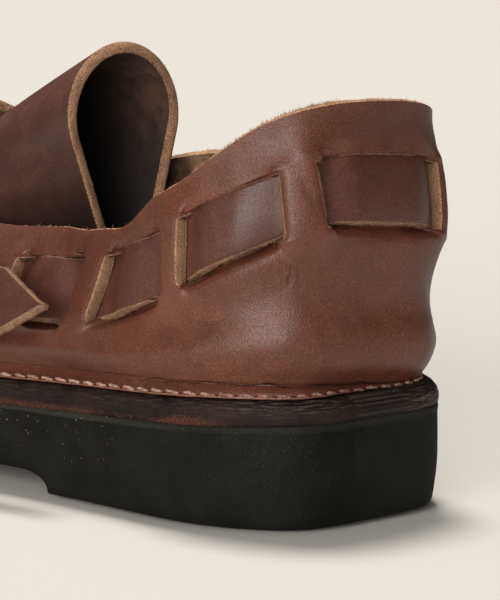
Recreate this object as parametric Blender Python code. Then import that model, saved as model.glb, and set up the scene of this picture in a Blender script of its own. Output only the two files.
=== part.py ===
"""Leather strap slip-on shoe, left foot: rubber outsole, leather midsole and insole,
a one-piece upper with slots, a woven heel strap, an instep strap and a rolled tongue.
Sizes are millimetres from the heel's back edge; the meshes are in metres, toe at +Y.
"""
import bmesh
import bpy
import numpy as np

MM = 0.001
GAP = 0.3

# Sole: lengths along the foot, and heights
SOLE_LENGTH = 285.0
RUBBER_HEEL = 22.8
RUBBER_DROP = 0.042
MIDSOLE_THICK = 5.0
INSOLE_THICK = 2.5
TOE_SPRING = 10.0
SPRING_FROM = 205.0
NOTCH_AT = 68.0
NOTCH_DEPTH = 4.7
NOTCH_RISE = 10.0
NOTCH_FALL_FROM = 95.0
NOTCH_END = 160.0
INSOLE_PLAY = 3.4
SOLE_SECTIONS = 35
NOTCH_SHARES = (0.0, 0.04, 0.15, 0.4, 1.0)
OUTSOLE_SIDE = (
    # inset, share of the rubber's thickness
    (2.6, 0.0),
    (1.0, 0.18),
    (0.2, 0.5),
    (0.6, 0.92),
    (0.1, 0.94),
    (0.2, 1.0),
)
MIDSOLE_SIDE = (
    # inset, share of the midsole's thickness
    (0.4, 0.0),
    (0.0, 0.28),
    (0.3, 0.68),
    (1.6, 1.0),
)

# Plan of the sole's widest line, a row for each station along the foot
TOE_TIP_X = 13.0
PLAN = (
    # from_heel, lateral, medial
    (3.0, 20.0, 20.0),
    (10.5, 27.0, 27.0),
    (24.0, 33.0, 32.8),
    (48.0, 34.8, 34.2),
    (80.0, 36.2, 33.6),
    (112.0, 40.2, 33.8),
    (145.0, 46.8, 36.4),
    (172.0, 51.2, 42.2),
    (198.0, 53.0, 48.6),
    (225.0, 50.2, 52.0),
    (250.0, 41.0, 49.6),
    (270.0, 25.5, 41.5),
    (281.0, 9.0, 29.5),
)

# Upper: leather, welt fold and the collar's line, a row for each place around the shoe
UPPER_THICK = 2.6
FEATHER_IN = 3.6
CREASE_RISE = 3.4
HEEL_SET = 2.3
HEEL_SET_SPREAD = 28.0
HEEL_SET_FADE = 0.06
WELT_FOLD = (
    # inset, rise
    (1.0, 0.45),
    (1.3, 1.4),
    (2.2, 2.6),
)
HEEL_CUP = 3.0
CUP_AT = 0.2
CUP_SPREAD = 0.13
HEEL_SWELL = 3.2
SWELL_AT = 0.56
SWELL_SPREAD = 0.26
SWELL_FADE = (0.06, 0.20)
TOE_PUFF = 6.0
VAMP_FROM = 0.40
VAMP_BLEND = 0.35
INSTEP_SLOPE = 0.4
THROAT_X = 3.0
FRONT_COLUMNS = 31
WALL_SHARES = (0.0, 0.2, 0.4, 0.65)
BAND_SHARES = (0.0, 0.33, 0.67, 1.0)
COLLAR_SHARES = (0.5, 1.0)
COLLAR = (
    # around, from_heel, half_width, lateral_height, medial_height, lateral_drop, medial_drop
    (0.00, 1.0, 0.0, 60.1, 60.1, 17.7, 17.7),
    (0.05, 3.0, 16.6, 59.5, 58.2, 17.3, 17.4),
    (0.09, 11.2, 24.8, 56.0, 54.8, 17.6, 17.2),
    (0.13, 23.4, 29.8, 47.6, 51.0, 15.0, 17.0),
    (0.20, 45.5, 29.4, 36.6, 48.0, 13.0, 17.5),
    (0.25, 62.0, 26.8, 33.0, 47.5, 12.8, 18.0),
    (0.30, 78.0, 24.0, 33.0, 47.0, 13.5, 18.5),
    (0.36, 96.0, 22.5, 33.0, 45.0, 14.0, 18.5),
    (0.45, 118.0, 21.5, 36.0, 44.5, 14.0, 17.0),
    (0.55, 134.0, 19.0, 42.5, 46.0, 14.0, 15.0),
    (0.70, 146.0, 12.0, 49.0, 50.0, 14.0, 14.0),
    (0.85, 151.0, 5.5, 52.0, 52.0, 14.0, 14.0),
    (1.00, 152.5, 0.0, 53.0, 53.0, 14.0, 14.0),
)

# Heel strap: it is outside the upper over these spans of the sole's edge, and inside between them
STRAP_WIDTH = 14.8
STRAP_THICK = 2.4
STRAP_PLAY = 0.6
STRAP_SIDE_PLAY = 1.1
SLOT = 3.8
WEAVE = 1.6
WEAVE_FADE = 9.0
STRAP_HIDDEN_END = 9.0
COLUMN_STEP = 5.5
STRAP_SPANS = (
    # start, end (medial side negative)
    (-113.0, -93.0),
    (-82.0, -63.0),
    (-52.0, -27.0),
    (-16.0, 12.9),
    (28.5, 46.5),
    (58.5, 73.5),
    (87.5, 105.0),
)

# Instep strap: its middle line over the tongue, the way its width points, and its width
INSTEP_STRAP = (
    # x, from_heel, rise, width_x, width_y, width_z, width
    (36.2, 132.0, 16.0, 0.12, 0.95, -0.05, 14.8),
    (33.0, 134.0, 29.0, 0.12, 0.95, -0.05, 14.8),
    (26.0, 138.0, 45.0, 0.05, 0.95, -0.10, 14.8),
    (13.0, 142.5, 54.0, 0.05, 0.95, -0.25, 14.8),
    (0.0, 144.0, 58.0, 0.00, 0.95, -0.25, 14.8),
    (-14.0, 142.0, 55.0, -0.20, 0.95, -0.20, 14.8),
    (-26.0, 137.0, 48.0, -0.29, 0.82, -0.40, 14.8),
    (-35.5, 126.0, 38.0, -0.27, 0.73, -0.59, 15.2),
    (-40.5, 112.0, 28.0, -0.20, 0.45, -0.85, 16.0),
    (-42.5, 97.0, 21.0, -0.15, 0.10, -0.95, 16.5),
    (-42.0, 81.0, 18.0, -0.35, 0.00, -0.92, 16.5),
    (-41.0, 60.0, 18.0, -0.40, 0.00, -0.90, 16.5),
)
TIP_LENGTH = 15.0
TIP_BLUNT = 0.06
INSTEP_SECTIONS = 34

# Tongue: a rolled sheet, a row for each section from its free edge to under the vamp
TONGUE_THICK = 2.6
TONGUE_X = -1.0
TONGUE_SECTIONS = 14
TONGUE_TURNS = 13
LIMB_STEPS = 2
TONGUE = (
    # from_heel, ridge, radius, sweep_deg, limb
    (80.0, 73.0, 16.3, 110.0, 36.0),
    (100.0, 64.5, 16.3, 107.0, 28.0),
    (120.0, 55.5, 15.8, 98.0, 18.0),
    (140.0, 46.5, 16.0, 86.0, 10.0),
    (166.0, 38.8, 19.0, 68.0, 4.0),
)

MATERIALS = {
    # colour, roughness
    "outsole": ((0.012, 0.012, 0.010), 0.80),
    "midsole": ((0.022, 0.013, 0.010), 0.55),
    "insole": ((0.110, 0.055, 0.030), 0.75),
    "upper": ((0.075, 0.026, 0.016), 0.45),
    "heel_strap": ((0.055, 0.020, 0.014), 0.45),
    "instep_strap": ((0.055, 0.020, 0.014), 0.45),
    "tongue": ((0.055, 0.022, 0.014), 0.50),
}


def spline(at, knots, values):
    """Natural cubic curve through a table's rows."""
    knots = np.asarray(knots, float)
    values = np.asarray(values, float)
    if values.ndim == 1:
        return spline(at, knots, values[:, None])[..., 0]
    step = np.diff(knots)
    count = len(knots)
    system = np.eye(count)
    slopes = np.diff(values, axis=0) / step[:, None]
    bend = np.zeros_like(values)
    for row in range(1, count - 1):
        system[row, row - 1:row + 2] = step[row - 1], 2 * (step[row - 1] + step[row]), step[row]
        bend[row] = 6 * (slopes[row] - slopes[row - 1])
    bend = np.linalg.solve(system, bend)
    at = np.asarray(at, float)
    left = np.clip(np.searchsorted(knots, at) - 1, 0, count - 2)
    width = step[left][..., None]
    a = (knots[left + 1] - at)[..., None] / width
    b = 1 - a
    straight = a * values[left] + b * values[left + 1]
    return straight + ((a ** 3 - a) * bend[left] + (b ** 3 - b) * bend[left + 1]) * width ** 2 / 6


def closed_spline(at, period, knots, values):
    """The same curve round a closed loop: the rows are repeated at both ends."""
    knots = np.asarray(knots, float)
    values = np.asarray(values, float)
    knots = np.concatenate([knots - period, knots, knots + period])
    return spline(at, knots, np.concatenate([values] * 3))


def smooth_step(t):
    t = np.clip(t, 0.0, 1.0)
    return t * t * (3 - 2 * t)


class SoleEdge:
    """The sole's plan: ring 0 is the heel's back, 1 the toe, and 1 to 2 the medial side back again."""

    def __init__(self, samples=2400):
        lateral = [(-left, along) for along, left, right in PLAN]
        medial = [(right, along) for along, left, right in reversed(PLAN)]
        points = np.array([(0.0, 0.0)] + lateral + [(TOE_TIP_X, SOLE_LENGTH)] + medial)
        chords = np.linalg.norm(np.roll(points, -1, axis=0) - points, axis=1)
        knots = np.concatenate([[0.0], np.cumsum(chords)[:-1]])
        period = chords.sum()
        at = np.linspace(0.0, period, samples)
        self.points = closed_spline(at, period, knots, points)
        along = np.gradient(self.points, axis=0)
        along /= np.linalg.norm(along, axis=1)[:, None]
        self.outward = np.stack([-along[:, 1], along[:, 0]], axis=1)
        lengths = np.linalg.norm(np.diff(self.points, axis=0), axis=1)
        arc = np.concatenate([[0.0], np.cumsum(lengths)])
        toe = np.argmax(self.points[:, 1])
        self.lateral_arc = arc[toe]
        self.medial_arc = arc[-1] - arc[toe]
        self.ring = np.where(arc <= arc[toe], arc / self.lateral_arc,
                             1 + (arc - arc[toe]) / self.medial_arc)
        self.toe = toe

    def ring_of_arc(self, arc):
        arc = np.asarray(arc, float)
        return np.where(arc >= 0, arc / self.lateral_arc, 2 + arc / self.medial_arc) % 2

    def arc_of_ring(self, ring):
        ring = np.asarray(ring, float) % 2
        return np.where(ring <= 1, ring * self.lateral_arc, (ring - 2) * self.medial_arc)

    def outward_at(self, ring):
        ring = np.asarray(ring, float) % 2
        normal = np.stack([np.interp(ring, self.ring, self.outward[:, k]) for k in (0, 1)], axis=-1)
        return normal / np.linalg.norm(normal, axis=-1, keepdims=True)

    def at(self, ring, inset=0.0):
        ring = np.asarray(ring, float) % 2
        point = np.stack([np.interp(ring, self.ring, self.points[:, k]) for k in (0, 1)], axis=-1)
        return point - self.outward_at(ring) * np.asarray(inset, float)[..., None]

    def ring_at_station(self, station):
        """The lateral and the medial ring at one distance from the heel."""
        lateral = np.interp(station, self.points[:self.toe + 1, 1], self.ring[:self.toe + 1])
        medial = np.interp(-station, -self.points[self.toe:, 1], self.ring[self.toe:])
        return lateral, medial


def heel_set(edge, ring):
    """How much further in the upper is set round the back of the heel."""
    return HEEL_SET * np.exp(-(edge.arc_of_ring(ring) / HEEL_SET_SPREAD) ** 2)


def spring(station):
    return TOE_SPRING * (np.clip(station - SPRING_FROM, 0, None) / (SOLE_LENGTH - SPRING_FROM)) ** 2


def tread_height(station):
    """Underside of the rubber: flat heel and ball, a notch ahead of the heel, and toe spring."""
    rise = np.sqrt(1 - (1 - np.clip((station - NOTCH_AT) / NOTCH_RISE, 0, 1)) ** 2)
    fall = np.clip((station - NOTCH_FALL_FROM) / (NOTCH_END - NOTCH_FALL_FROM), 0, 1)
    return NOTCH_DEPTH * rise * 0.5 * (1 + np.cos(np.pi * fall)) + spring(station)


def rubber_top(station):
    return RUBBER_HEEL - RUBBER_DROP * station + spring(station)


def midsole_top(station):
    return rubber_top(station) + GAP + MIDSOLE_THICK


def add_solid(name, vertices, faces):
    """One object from points in millimetres, with its own material."""
    body = bmesh.new()
    corners = [body.verts.new(point) for point in np.asarray(vertices) * MM]
    for face in faces:
        body.faces.new([corners[k] for k in face])
    bmesh.ops.recalc_face_normals(body, faces=body.faces)
    mesh = bpy.data.meshes.new(name)
    body.to_mesh(mesh)
    body.free()
    mesh.shade_smooth()
    mesh.set_sharp_from_angle(angle=np.radians(40))
    colour, roughness = MATERIALS[name]
    material = bpy.data.materials.new(name)
    material.use_nodes = True
    shader = material.node_tree.nodes["Principled BSDF"]
    shader.inputs["Base Color"].default_value = (*colour, 1.0)
    shader.inputs["Roughness"].default_value = roughness
    shader.inputs["Metallic"].default_value = 0.0
    mesh.materials.append(material)
    shape = bpy.data.objects.new(name, mesh)
    bpy.context.scene.collection.objects.link(shape)
    return shape


def add_slab(name, edge, stations, levels):
    """A layer of the sole: each level is an inset from the edge and a height along the foot."""
    lateral, medial = edge.ring_at_station(stations)
    count = len(levels)
    rows = []
    for side in (lateral, medial):
        for inset, height in levels:
            plan = edge.at(side, np.full(len(stations), inset))
            rows.append(np.column_stack([plan, height(stations)]))
    points = np.stack(rows, axis=1)
    points[[0, -1], count:] = points[[0, -1], :count]
    loop = list(range(count)) + list(range(2 * count - 1, count - 1, -1))
    index = np.arange(points.shape[0] * points.shape[1]).reshape(points.shape[:2])
    index[[0, -1], count:] = index[[0, -1], :count]
    faces = []
    for row in range(len(stations) - 1):
        for a, b in zip(loop, loop[1:] + loop[:1]):
            corners = [index[row, a], index[row, b], index[row + 1, b], index[row + 1, a]]
            face = list(dict.fromkeys(corners))
            if len(face) > 2:
                faces.append(face)
    used = np.unique(index)
    remap = {old: new for new, old in enumerate(used)}
    faces = [[remap[k] for k in face] for face in faces]
    return add_solid(name, points.reshape(-1, 3)[used], faces)


def sole_stations():
    """Stations close together at both round ends and at the notch."""
    turn = np.linspace(0.0, np.pi, SOLE_SECTIONS)
    stations = (1 - np.cos(turn)) / 2 * SOLE_LENGTH
    notch = NOTCH_AT + NOTCH_RISE * np.array(NOTCH_SHARES)
    stations = stations[np.abs(stations - notch.mean()) > NOTCH_RISE]
    return np.sort(np.concatenate([stations, notch]))


def build_sole(edge):
    stations = sole_stations()
    levels = []
    for inset, share in OUTSOLE_SIDE:
        levels.append((inset, lambda s, f=share: tread_height(s) * (1 - f) + rubber_top(s) * f))
    add_slab("outsole", edge, stations, levels)
    levels = []
    for inset, share in MIDSOLE_SIDE:
        levels.append((inset, lambda s, f=share: rubber_top(s) + GAP + MIDSOLE_THICK * f))
    add_slab("midsole", edge, stations, levels)
    inset = FEATHER_IN + UPPER_THICK + INSOLE_PLAY
    levels = [(inset, lambda s, r=rise: midsole_top(s) + r) for rise in (GAP, GAP + INSOLE_THICK)]
    add_slab("insole", edge, stations[::2], levels)


class Upper:
    """The upper's outer face: ring runs round the sole's edge, and rise from welt (0) to collar (1)."""

    def __init__(self, edge):
        self.edge = edge
        table = np.array(COLLAR)
        lateral = table[:, [0, 1, 2, 3, 5]] * (1, 1, -1, 1, 1)
        medial = table[-2:0:-1, [0, 1, 2, 4, 6]] * (-1, 1, 1, 1, 1) + (2, 0, 0, 0, 0)
        loop = np.concatenate([lateral, medial])
        self.knots = loop[:, 0]
        self.columns = loop[:, 1:]

    def collar(self, ring):
        """Plan point, height above the midsole and the strap's drop, round the collar."""
        row = closed_spline(np.asarray(ring) % 2, 2.0, self.knots, self.columns)
        around = 1 - np.abs(1 - np.asarray(ring) % 2)
        along, across, height, drop = np.moveaxis(row, -1, 0)
        plan = np.stack([across + THROAT_X * around ** 4, along], axis=-1)
        return plan, height, drop

    def wall_length(self, ring):
        plan, height, drop = self.collar(ring)
        base = self.edge.at(ring, FEATHER_IN + heel_set(self.edge, ring))
        return np.hypot(height - CREASE_RISE, np.linalg.norm(plan - base, axis=-1))

    def strap_rise(self, ring, half_width):
        """Rise of the strap's lower edge, middle and upper edge."""
        plan, height, drop = self.collar(ring)
        length = self.wall_length(ring)
        middle = 1 - drop / length
        return middle - half_width / length, middle, middle + half_width / length

    def outside(self, ring):
        """1 where the strap shows outside the upper, 0 where it is inside, smooth across each slot."""
        arc = self.edge.arc_of_ring(ring)
        share = np.zeros(np.shape(ring))
        for start, end in STRAP_SPANS:
            share += smooth_step((arc - start + SLOT) / SLOT) - smooth_step((arc - end) / SLOT)
        return share

    def carries_strap(self, ring):
        arc = self.edge.arc_of_ring(ring)
        first = STRAP_SPANS[0][0] - SLOT - STRAP_HIDDEN_END - WEAVE_FADE
        last = STRAP_SPANS[-1][1] + SLOT + STRAP_HIDDEN_END + WEAVE_FADE
        return smooth_step((arc - first) / WEAVE_FADE) * smooth_step((last - arc) / WEAVE_FADE)

    def face(self, ring, rise, woven=True):
        """Points of the outer face; woven adds the push in and out that the strap gives it."""
        ring = np.broadcast_to(np.asarray(ring, float), np.shape(rise))
        plan, height, drop = self.collar(ring)
        set_in = heel_set(self.edge, ring)
        base = self.edge.at(ring, FEATHER_IN + set_in)
        around = 1 - np.abs(1 - ring % 2)
        vamp = smooth_step((around - VAMP_FROM) / VAMP_BLEND)
        turn = rise * np.pi / 2
        across = (1 - vamp) * rise ** 2 + vamp * (1 - np.cos(turn))
        arch = (1 - INSTEP_SLOPE) * np.sin(turn) + INSTEP_SLOPE * (1 - np.cos(turn))
        climb = (1 - vamp) * rise + vamp * arch
        cup = HEEL_CUP * np.exp(-((rise - CUP_AT) / CUP_SPREAD) ** 2) * (1 - vamp)
        fade = smooth_step((around - SWELL_FADE[0]) / (SWELL_FADE[1] - SWELL_FADE[0]))
        swell = HEEL_SWELL * np.exp(-((rise - SWELL_AT) / SWELL_SPREAD) ** 2) * (1 - fade)
        restored = set_in * (1 - across) * (1 - np.exp(-(rise / HEEL_SET_FADE) ** 2))
        push = cup + swell + restored
        if woven:
            low, middle, high = self.strap_rise(ring, STRAP_WIDTH / 2)
            below = np.clip(low - rise, 0, None) * self.wall_length(ring) / WEAVE_FADE
            above = np.clip(rise - high, 0, None) * self.wall_length(ring) / (2 * WEAVE_FADE)
            window = 1 - smooth_step(below) - smooth_step(above)
            push = push + WEAVE * (1 - 2 * self.outside(ring)) * window * self.carries_strap(ring)
        flat = base + (plan - base) * across[..., None] + self.edge.outward_at(ring) * push[..., None]
        ground = midsole_top(self.edge.at(ring)[..., 1])
        lift = CREASE_RISE + (height - CREASE_RISE) * climb + TOE_PUFF * vamp * np.sin(np.pi * rise)
        return np.concatenate([flat, (ground + lift)[..., None]], axis=-1)


def face_normals(points, closed):
    """Unit normals of a grid of points, out of the shoe."""
    if closed:
        round_step = np.roll(points, -1, axis=0) - np.roll(points, 1, axis=0)
    else:
        round_step = np.gradient(points, axis=0)
    normals = np.cross(np.gradient(points, axis=1), round_step)
    return normals / np.linalg.norm(normals, axis=-1, keepdims=True)


def even_steps(start, end):
    """Points from start to end, a step of a few millimetres apart."""
    return np.linspace(start, end, int(np.ceil((end - start) / COLUMN_STEP)) + 1)


def upper_columns(edge):
    """Places round the edge: both lips of each slot, and even steps between them."""
    arcs = [STRAP_SPANS[0][0] - SLOT - STRAP_HIDDEN_END]
    slots = []
    for start, end in STRAP_SPANS:
        slots.append((start - SLOT, start))
        slots.append((end, end + SLOT))
    for k, (near, far) in enumerate(slots):
        arcs.extend(np.linspace(near, far, 3))
        if k + 1 < len(slots):
            arcs.extend(even_steps(far, slots[k + 1][0])[1:-1])
    arcs.append(STRAP_SPANS[-1][1] + SLOT + STRAP_HIDDEN_END)
    rings = edge.ring_of_arc(np.array(arcs))
    front = np.linspace(rings[-1], rings[0], FRONT_COLUMNS)[1:-1]
    rings = np.concatenate([rings, front])
    places = edge.arc_of_ring(rings)
    is_slot = np.zeros(len(rings), bool)
    for near, far in slots:
        is_slot |= (places > near - 0.01) & (places < far - 0.01)
    return rings, is_slot


def build_upper(edge, upper):
    rings, is_slot = upper_columns(edge)
    low, middle, high = upper.strap_rise(rings, STRAP_WIDTH / 2)
    wall = [low * share for share in WALL_SHARES]
    band_start = len(wall)
    wall += [low + (high - low) * share for share in BAND_SHARES]
    band_end = len(wall) - 1
    wall += [high + (1 - high) * share for share in COLLAR_SHARES]
    rise = np.stack(wall, axis=1)
    outer = upper.face(rings[:, None], rise)
    inner = outer - face_normals(outer, True) * UPPER_THICK
    base = edge.at(rings)
    ground = midsole_top(base[:, 1])
    fold = []
    set_in = heel_set(edge, rings)
    for inset, height in WELT_FOLD:
        plan = edge.at(rings, inset + set_in)
        fold.append(np.column_stack([plan, ground + height]))
    plan = edge.at(rings, FEATHER_IN + UPPER_THICK + set_in)
    fold.append(np.column_stack([plan, ground + WELT_FOLD[0][1]]))
    fold = np.stack(fold, axis=1)
    outer_at = len(WELT_FOLD)
    section = np.concatenate([fold[:, :outer_at], outer, inner[:, ::-1], fold[:, outer_at:]], axis=1)
    columns, size = section.shape[:2]
    rim = outer_at + rise.shape[1] - 1
    inner_last = outer_at + 2 * rise.shape[1] - 1

    def is_open(column, row):
        from_welt = row - outer_at if row <= rim else inner_last - row - 1
        return is_slot[column] and band_start <= from_welt < band_end and row != rim

    def corner(column, row):
        return (column % columns) * size + row % size

    faces = []
    for column in range(columns):
        for row in range(size):
            if not is_open(column, row):
                faces.append([corner(column, row), corner(column, row + 1),
                              corner(column + 1, row + 1), corner(column + 1, row)])
    faces += slot_walls(is_slot, corner, outer_at, inner_last, band_start, band_end)
    body = section.reshape(-1, 3)
    used = np.unique(np.concatenate(faces))
    remap = np.full(len(body), -1)
    remap[used] = np.arange(len(used))
    return add_solid("upper", body[used], [remap[face] for face in faces])


def slot_walls(is_slot, corner, outer_at, inner_last, band_start, band_end):
    """The leather's cut edges round each slot, from the outer face to the inner one."""
    walls = []
    columns = len(is_slot)
    for column in range(columns):
        if not is_slot[column]:
            continue
        for from_welt in (band_start, band_end):
            a = outer_at + from_welt
            b = inner_last - from_welt
            walls.append([corner(column, a), corner(column + 1, a),
                          corner(column + 1, b), corner(column, b)])
        lips = []
        if not is_slot[column - 1]:
            lips.append(column)
        if not is_slot[(column + 1) % columns]:
            lips.append(column + 1)
        for lip in lips:
            for from_welt in range(band_start, band_end):
                a = outer_at + from_welt
                b = inner_last - from_welt
                walls.append([corner(lip, a), corner(lip, a + 1), corner(lip, b - 1), corner(lip, b)])
    return walls


def add_band(name, middle, normals, thickness):
    """A strap or sheet: a grid of points given a thickness, and closed all round."""
    outer = middle + normals * thickness / 2
    inner = middle - normals * thickness / 2
    section = np.concatenate([outer, inner[:, ::-1]], axis=1)
    rows, size = section.shape[:2]
    faces = []
    for row in range(rows - 1):
        for k in range(size):
            after = (k + 1) % size
            faces.append([row * size + k, row * size + after,
                          (row + 1) * size + after, (row + 1) * size + k])
    half = size // 2
    for row in (0, rows - 1):
        for k in range(half - 1):
            faces.append([row * size + k, row * size + k + 1,
                          row * size + size - 2 - k, row * size + size - 1 - k])
    return add_solid(name, section.reshape(-1, 3), faces)


def build_heel_strap(edge, upper):
    arcs = [STRAP_SPANS[0][0] - SLOT - STRAP_HIDDEN_END]
    for start, end in STRAP_SPANS:
        arcs.extend(np.linspace(start - SLOT, start, 6))
        arcs.extend(even_steps(start, end)[1:-1])
        arcs.extend(np.linspace(end, end + SLOT, 6))
    arcs.append(STRAP_SPANS[-1][1] + SLOT + STRAP_HIDDEN_END)
    rings = edge.ring_of_arc(np.array(arcs))
    low, middle, high = upper.strap_rise(rings, STRAP_WIDTH / 2 - STRAP_SIDE_PLAY)
    rise = np.stack([low, (low + high) / 2, high], axis=1)
    plain = upper.face(rings[:, None], rise, woven=False)
    outside = upper.outside(rings)[:, None]
    half = STRAP_THICK / 2 + STRAP_PLAY
    weave = WEAVE * (1 - 2 * outside)
    lift = outside * half - (1 - outside) * (UPPER_THICK + half)
    sideways = np.zeros((len(rings), 1, 3))
    sideways[:, 0, :2] = edge.outward_at(rings) * weave
    centre = plain + sideways + face_normals(plain, False) * lift[..., None]
    return add_band("heel_strap", centre, face_normals(centre, False), STRAP_THICK)


def build_instep_strap():
    table = np.array(INSTEP_STRAP)
    points = table[:, :3].copy()
    points[:, 2] += midsole_top(points[:, 1])
    chords = np.linalg.norm(np.diff(points, axis=0), axis=1)
    knots = np.concatenate([[0.0], np.cumsum(chords)])
    at = np.linspace(0.0, knots[-1], INSTEP_SECTIONS)
    path = spline(at, knots, points)
    width = spline(at, knots, table[:, 3:6])
    reach = np.interp(at, knots, table[:, 6])
    along = np.gradient(path, axis=0)
    along /= np.linalg.norm(along, axis=1)[:, None]
    width -= along * np.sum(along * width, axis=1)[:, None]
    width /= np.linalg.norm(width, axis=1)[:, None]
    normal = np.cross(width, along)
    taper = np.clip((knots[-1] - at) / TIP_LENGTH, TIP_BLUNT, 1.0)
    side = np.array([-0.5, 0.0, 0.5])[None, :] * (reach * taper)[:, None]
    centre = path[:, None] + width[:, None] * side[..., None]
    normals = np.repeat(normal[:, None], 3, axis=1)
    return add_band("instep_strap", centre, normals, STRAP_THICK)


def build_tongue():
    table = np.array(TONGUE)
    stations = np.linspace(table[0, 0], table[-1, 0], TONGUE_SECTIONS)
    ridge, radius, sweep, limb = np.moveaxis(spline(stations, table[:, 0], table[:, 1:]), -1, 0)
    straight = 1 + np.arange(1, LIMB_STEPS + 1) / LIMB_STEPS
    share = np.concatenate([-straight[::-1], np.linspace(-1.0, 1.0, TONGUE_TURNS), straight])
    turn = np.radians(sweep)[:, None] * np.clip(share, -1, 1)
    beyond = np.clip(np.abs(share) - 1, 0, None) * limb[:, None]
    x = (radius - TONGUE_THICK / 2)[:, None] * np.sin(turn) + np.sign(share) * beyond * np.cos(turn)
    drop = (radius - TONGUE_THICK / 2)[:, None] * (1 - np.cos(turn)) + beyond * np.abs(np.sin(turn))
    height = (midsole_top(stations) + ridge - TONGUE_THICK / 2)[:, None] - drop
    along = np.broadcast_to(stations[:, None], x.shape)
    middle = np.stack([x + TONGUE_X, along, height], axis=-1)
    return add_band("tongue", middle, face_normals(middle, False), TONGUE_THICK)


def centre_on_floor():
    """Moves every mesh so that the origin is the middle of the bottom of the whole shoe."""
    shapes = list(bpy.context.scene.objects)
    corners = np.array([vertex.co for shape in shapes for vertex in shape.data.vertices])
    low, high = corners.min(axis=0), corners.max(axis=0)
    shift = -np.array([(low[0] + high[0]) / 2, (low[1] + high[1]) / 2, low[2]])
    for shape in shapes:
        for vertex in shape.data.vertices:
            vertex.co = np.array(vertex.co) + shift


def main():
    for leftover in list(bpy.data.objects):
        bpy.data.objects.remove(leftover)
    edge = SoleEdge()
    upper = Upper(edge)
    build_sole(edge)
    build_upper(edge, upper)
    build_heel_strap(edge, upper)
    build_instep_strap()
    build_tongue()
    centre_on_floor()


main()
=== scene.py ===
import math
import bmesh
import bpy
import numpy as np
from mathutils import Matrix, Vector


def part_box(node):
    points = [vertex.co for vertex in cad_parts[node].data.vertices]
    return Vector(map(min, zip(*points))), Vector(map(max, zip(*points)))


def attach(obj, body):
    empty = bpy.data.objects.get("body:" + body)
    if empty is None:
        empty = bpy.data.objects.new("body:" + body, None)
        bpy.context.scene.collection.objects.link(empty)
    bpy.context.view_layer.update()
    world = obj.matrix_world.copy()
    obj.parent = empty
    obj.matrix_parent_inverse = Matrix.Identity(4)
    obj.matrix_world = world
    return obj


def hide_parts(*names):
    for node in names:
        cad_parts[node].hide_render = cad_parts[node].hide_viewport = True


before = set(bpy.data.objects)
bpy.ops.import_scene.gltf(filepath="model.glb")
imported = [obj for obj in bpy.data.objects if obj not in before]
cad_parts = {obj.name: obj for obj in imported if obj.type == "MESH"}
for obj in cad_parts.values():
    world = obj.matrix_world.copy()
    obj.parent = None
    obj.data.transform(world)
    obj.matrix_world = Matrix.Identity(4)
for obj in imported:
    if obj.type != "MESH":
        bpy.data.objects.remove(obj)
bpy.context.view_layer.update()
draw = np.random.default_rng(41)
mm = 0.001

# sole: mm from the back of the heel, toe at +y; lateral is the outer side, at -x
sole = dict(
    length=285.0, toeTipX=13.0, gap=0.3,
    rubberHeel=22.8, rubberDrop=0.042, midsoleThick=5.0, insoleThick=2.5, insoleIn=9.6,
    heelSet=2.3, heelSetSpread=28.0, pressed=0.6, pressedSpread=13.0, pressedOn=0.04,
    toeSpring=10.0, springFrom=205.0,
    notchAt=68.0, notchDepth=4.7, notchRise=10.0, notchFallFrom=95.0, notchEnd=160.0,
    # from heel, lateral, medial
    plan=[(3.0, 20.0, 20.0), (10.5, 27.0, 27.0), (24.0, 33.0, 32.8), (48.0, 34.8, 34.2),
          (80.0, 36.2, 33.6), (112.0, 40.2, 33.8), (145.0, 46.8, 36.4), (172.0, 51.2, 42.2),
          (198.0, 53.0, 48.6), (225.0, 50.2, 52.0), (250.0, 41.0, 49.6), (270.0, 25.5, 41.5),
          (281.0, 9.0, 29.5)],
    # inset with the lip, inset without it at the heel, share of the height
    rubberSide=[(5.0, 5.0, 0.0), (2.0, 2.0, 0.045), (1.3, 1.3, 0.08), (0.95, 0.95, 0.17),
                (0.45, 0.45, 0.34), (0.2, 0.2, 0.5), (0.25, 0.2, 0.7), (0.6, 0.25, 0.915),
                (0.62, 0.25, 0.925), (0.12, 0.2, 0.94), (0.05, 0.15, 0.97), (0.2, 0.2, 1.0)],
    lipFrom=15.0, lipOver=60.0,
    # inset, share of the height
    midsoleSide=[(0.25, 0.0), (0.08, 0.12), (0.0, 0.28), (0.08, 0.48), (0.3, 0.68), (0.75, 0.86),
                 (1.6, 1.0)],
    insoleSide=[(0.4, 0.0), (0.0, 0.3), (0.0, 0.75), (0.5, 1.0)],
    # size, seed and height of the midsole's unevenness
    edgeLumps=[(9.0, 3, 0.10), (2.6, 4, 0.06)],
)


# natural cubic through the rows of a table: straight share plus the bend that keeps curvature even
def curveThrough(at, knots, values):
    knots = np.asarray(knots, float)
    values = np.asarray(values, float)
    if values.ndim == 1:
        return curveThrough(at, knots, values[:, None])[..., 0]
    step = np.diff(knots)
    count = len(knots)
    system = np.eye(count)
    slopes = np.diff(values, axis=0) / step[:, None]
    bend = np.zeros_like(values)
    for k in range(1, count - 1):
        system[k, k - 1:k + 2] = step[k - 1], 2 * (step[k - 1] + step[k]), step[k]
        bend[k] = 6 * (slopes[k] - slopes[k - 1])
    bend = np.linalg.solve(system, bend)
    at = np.asarray(at, float)
    left = np.clip(np.searchsorted(knots, at) - 1, 0, count - 2)
    width = step[left][..., None]
    a = (knots[left + 1] - at)[..., None] / width
    b = 1 - a
    straight = a * values[left] + b * values[left + 1]
    return straight + ((a ** 3 - a) * bend[left] + (b ** 3 - b) * bend[left + 1]) * width ** 2 / 6


# the same curve round a loop: the rows are repeated before and after
def loopThrough(at, period, knots, values):
    knots = np.asarray(knots, float)
    knots = np.concatenate([knots - period, knots, knots + period])
    return curveThrough(at, knots, np.concatenate([np.asarray(values, float)] * 3))


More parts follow.
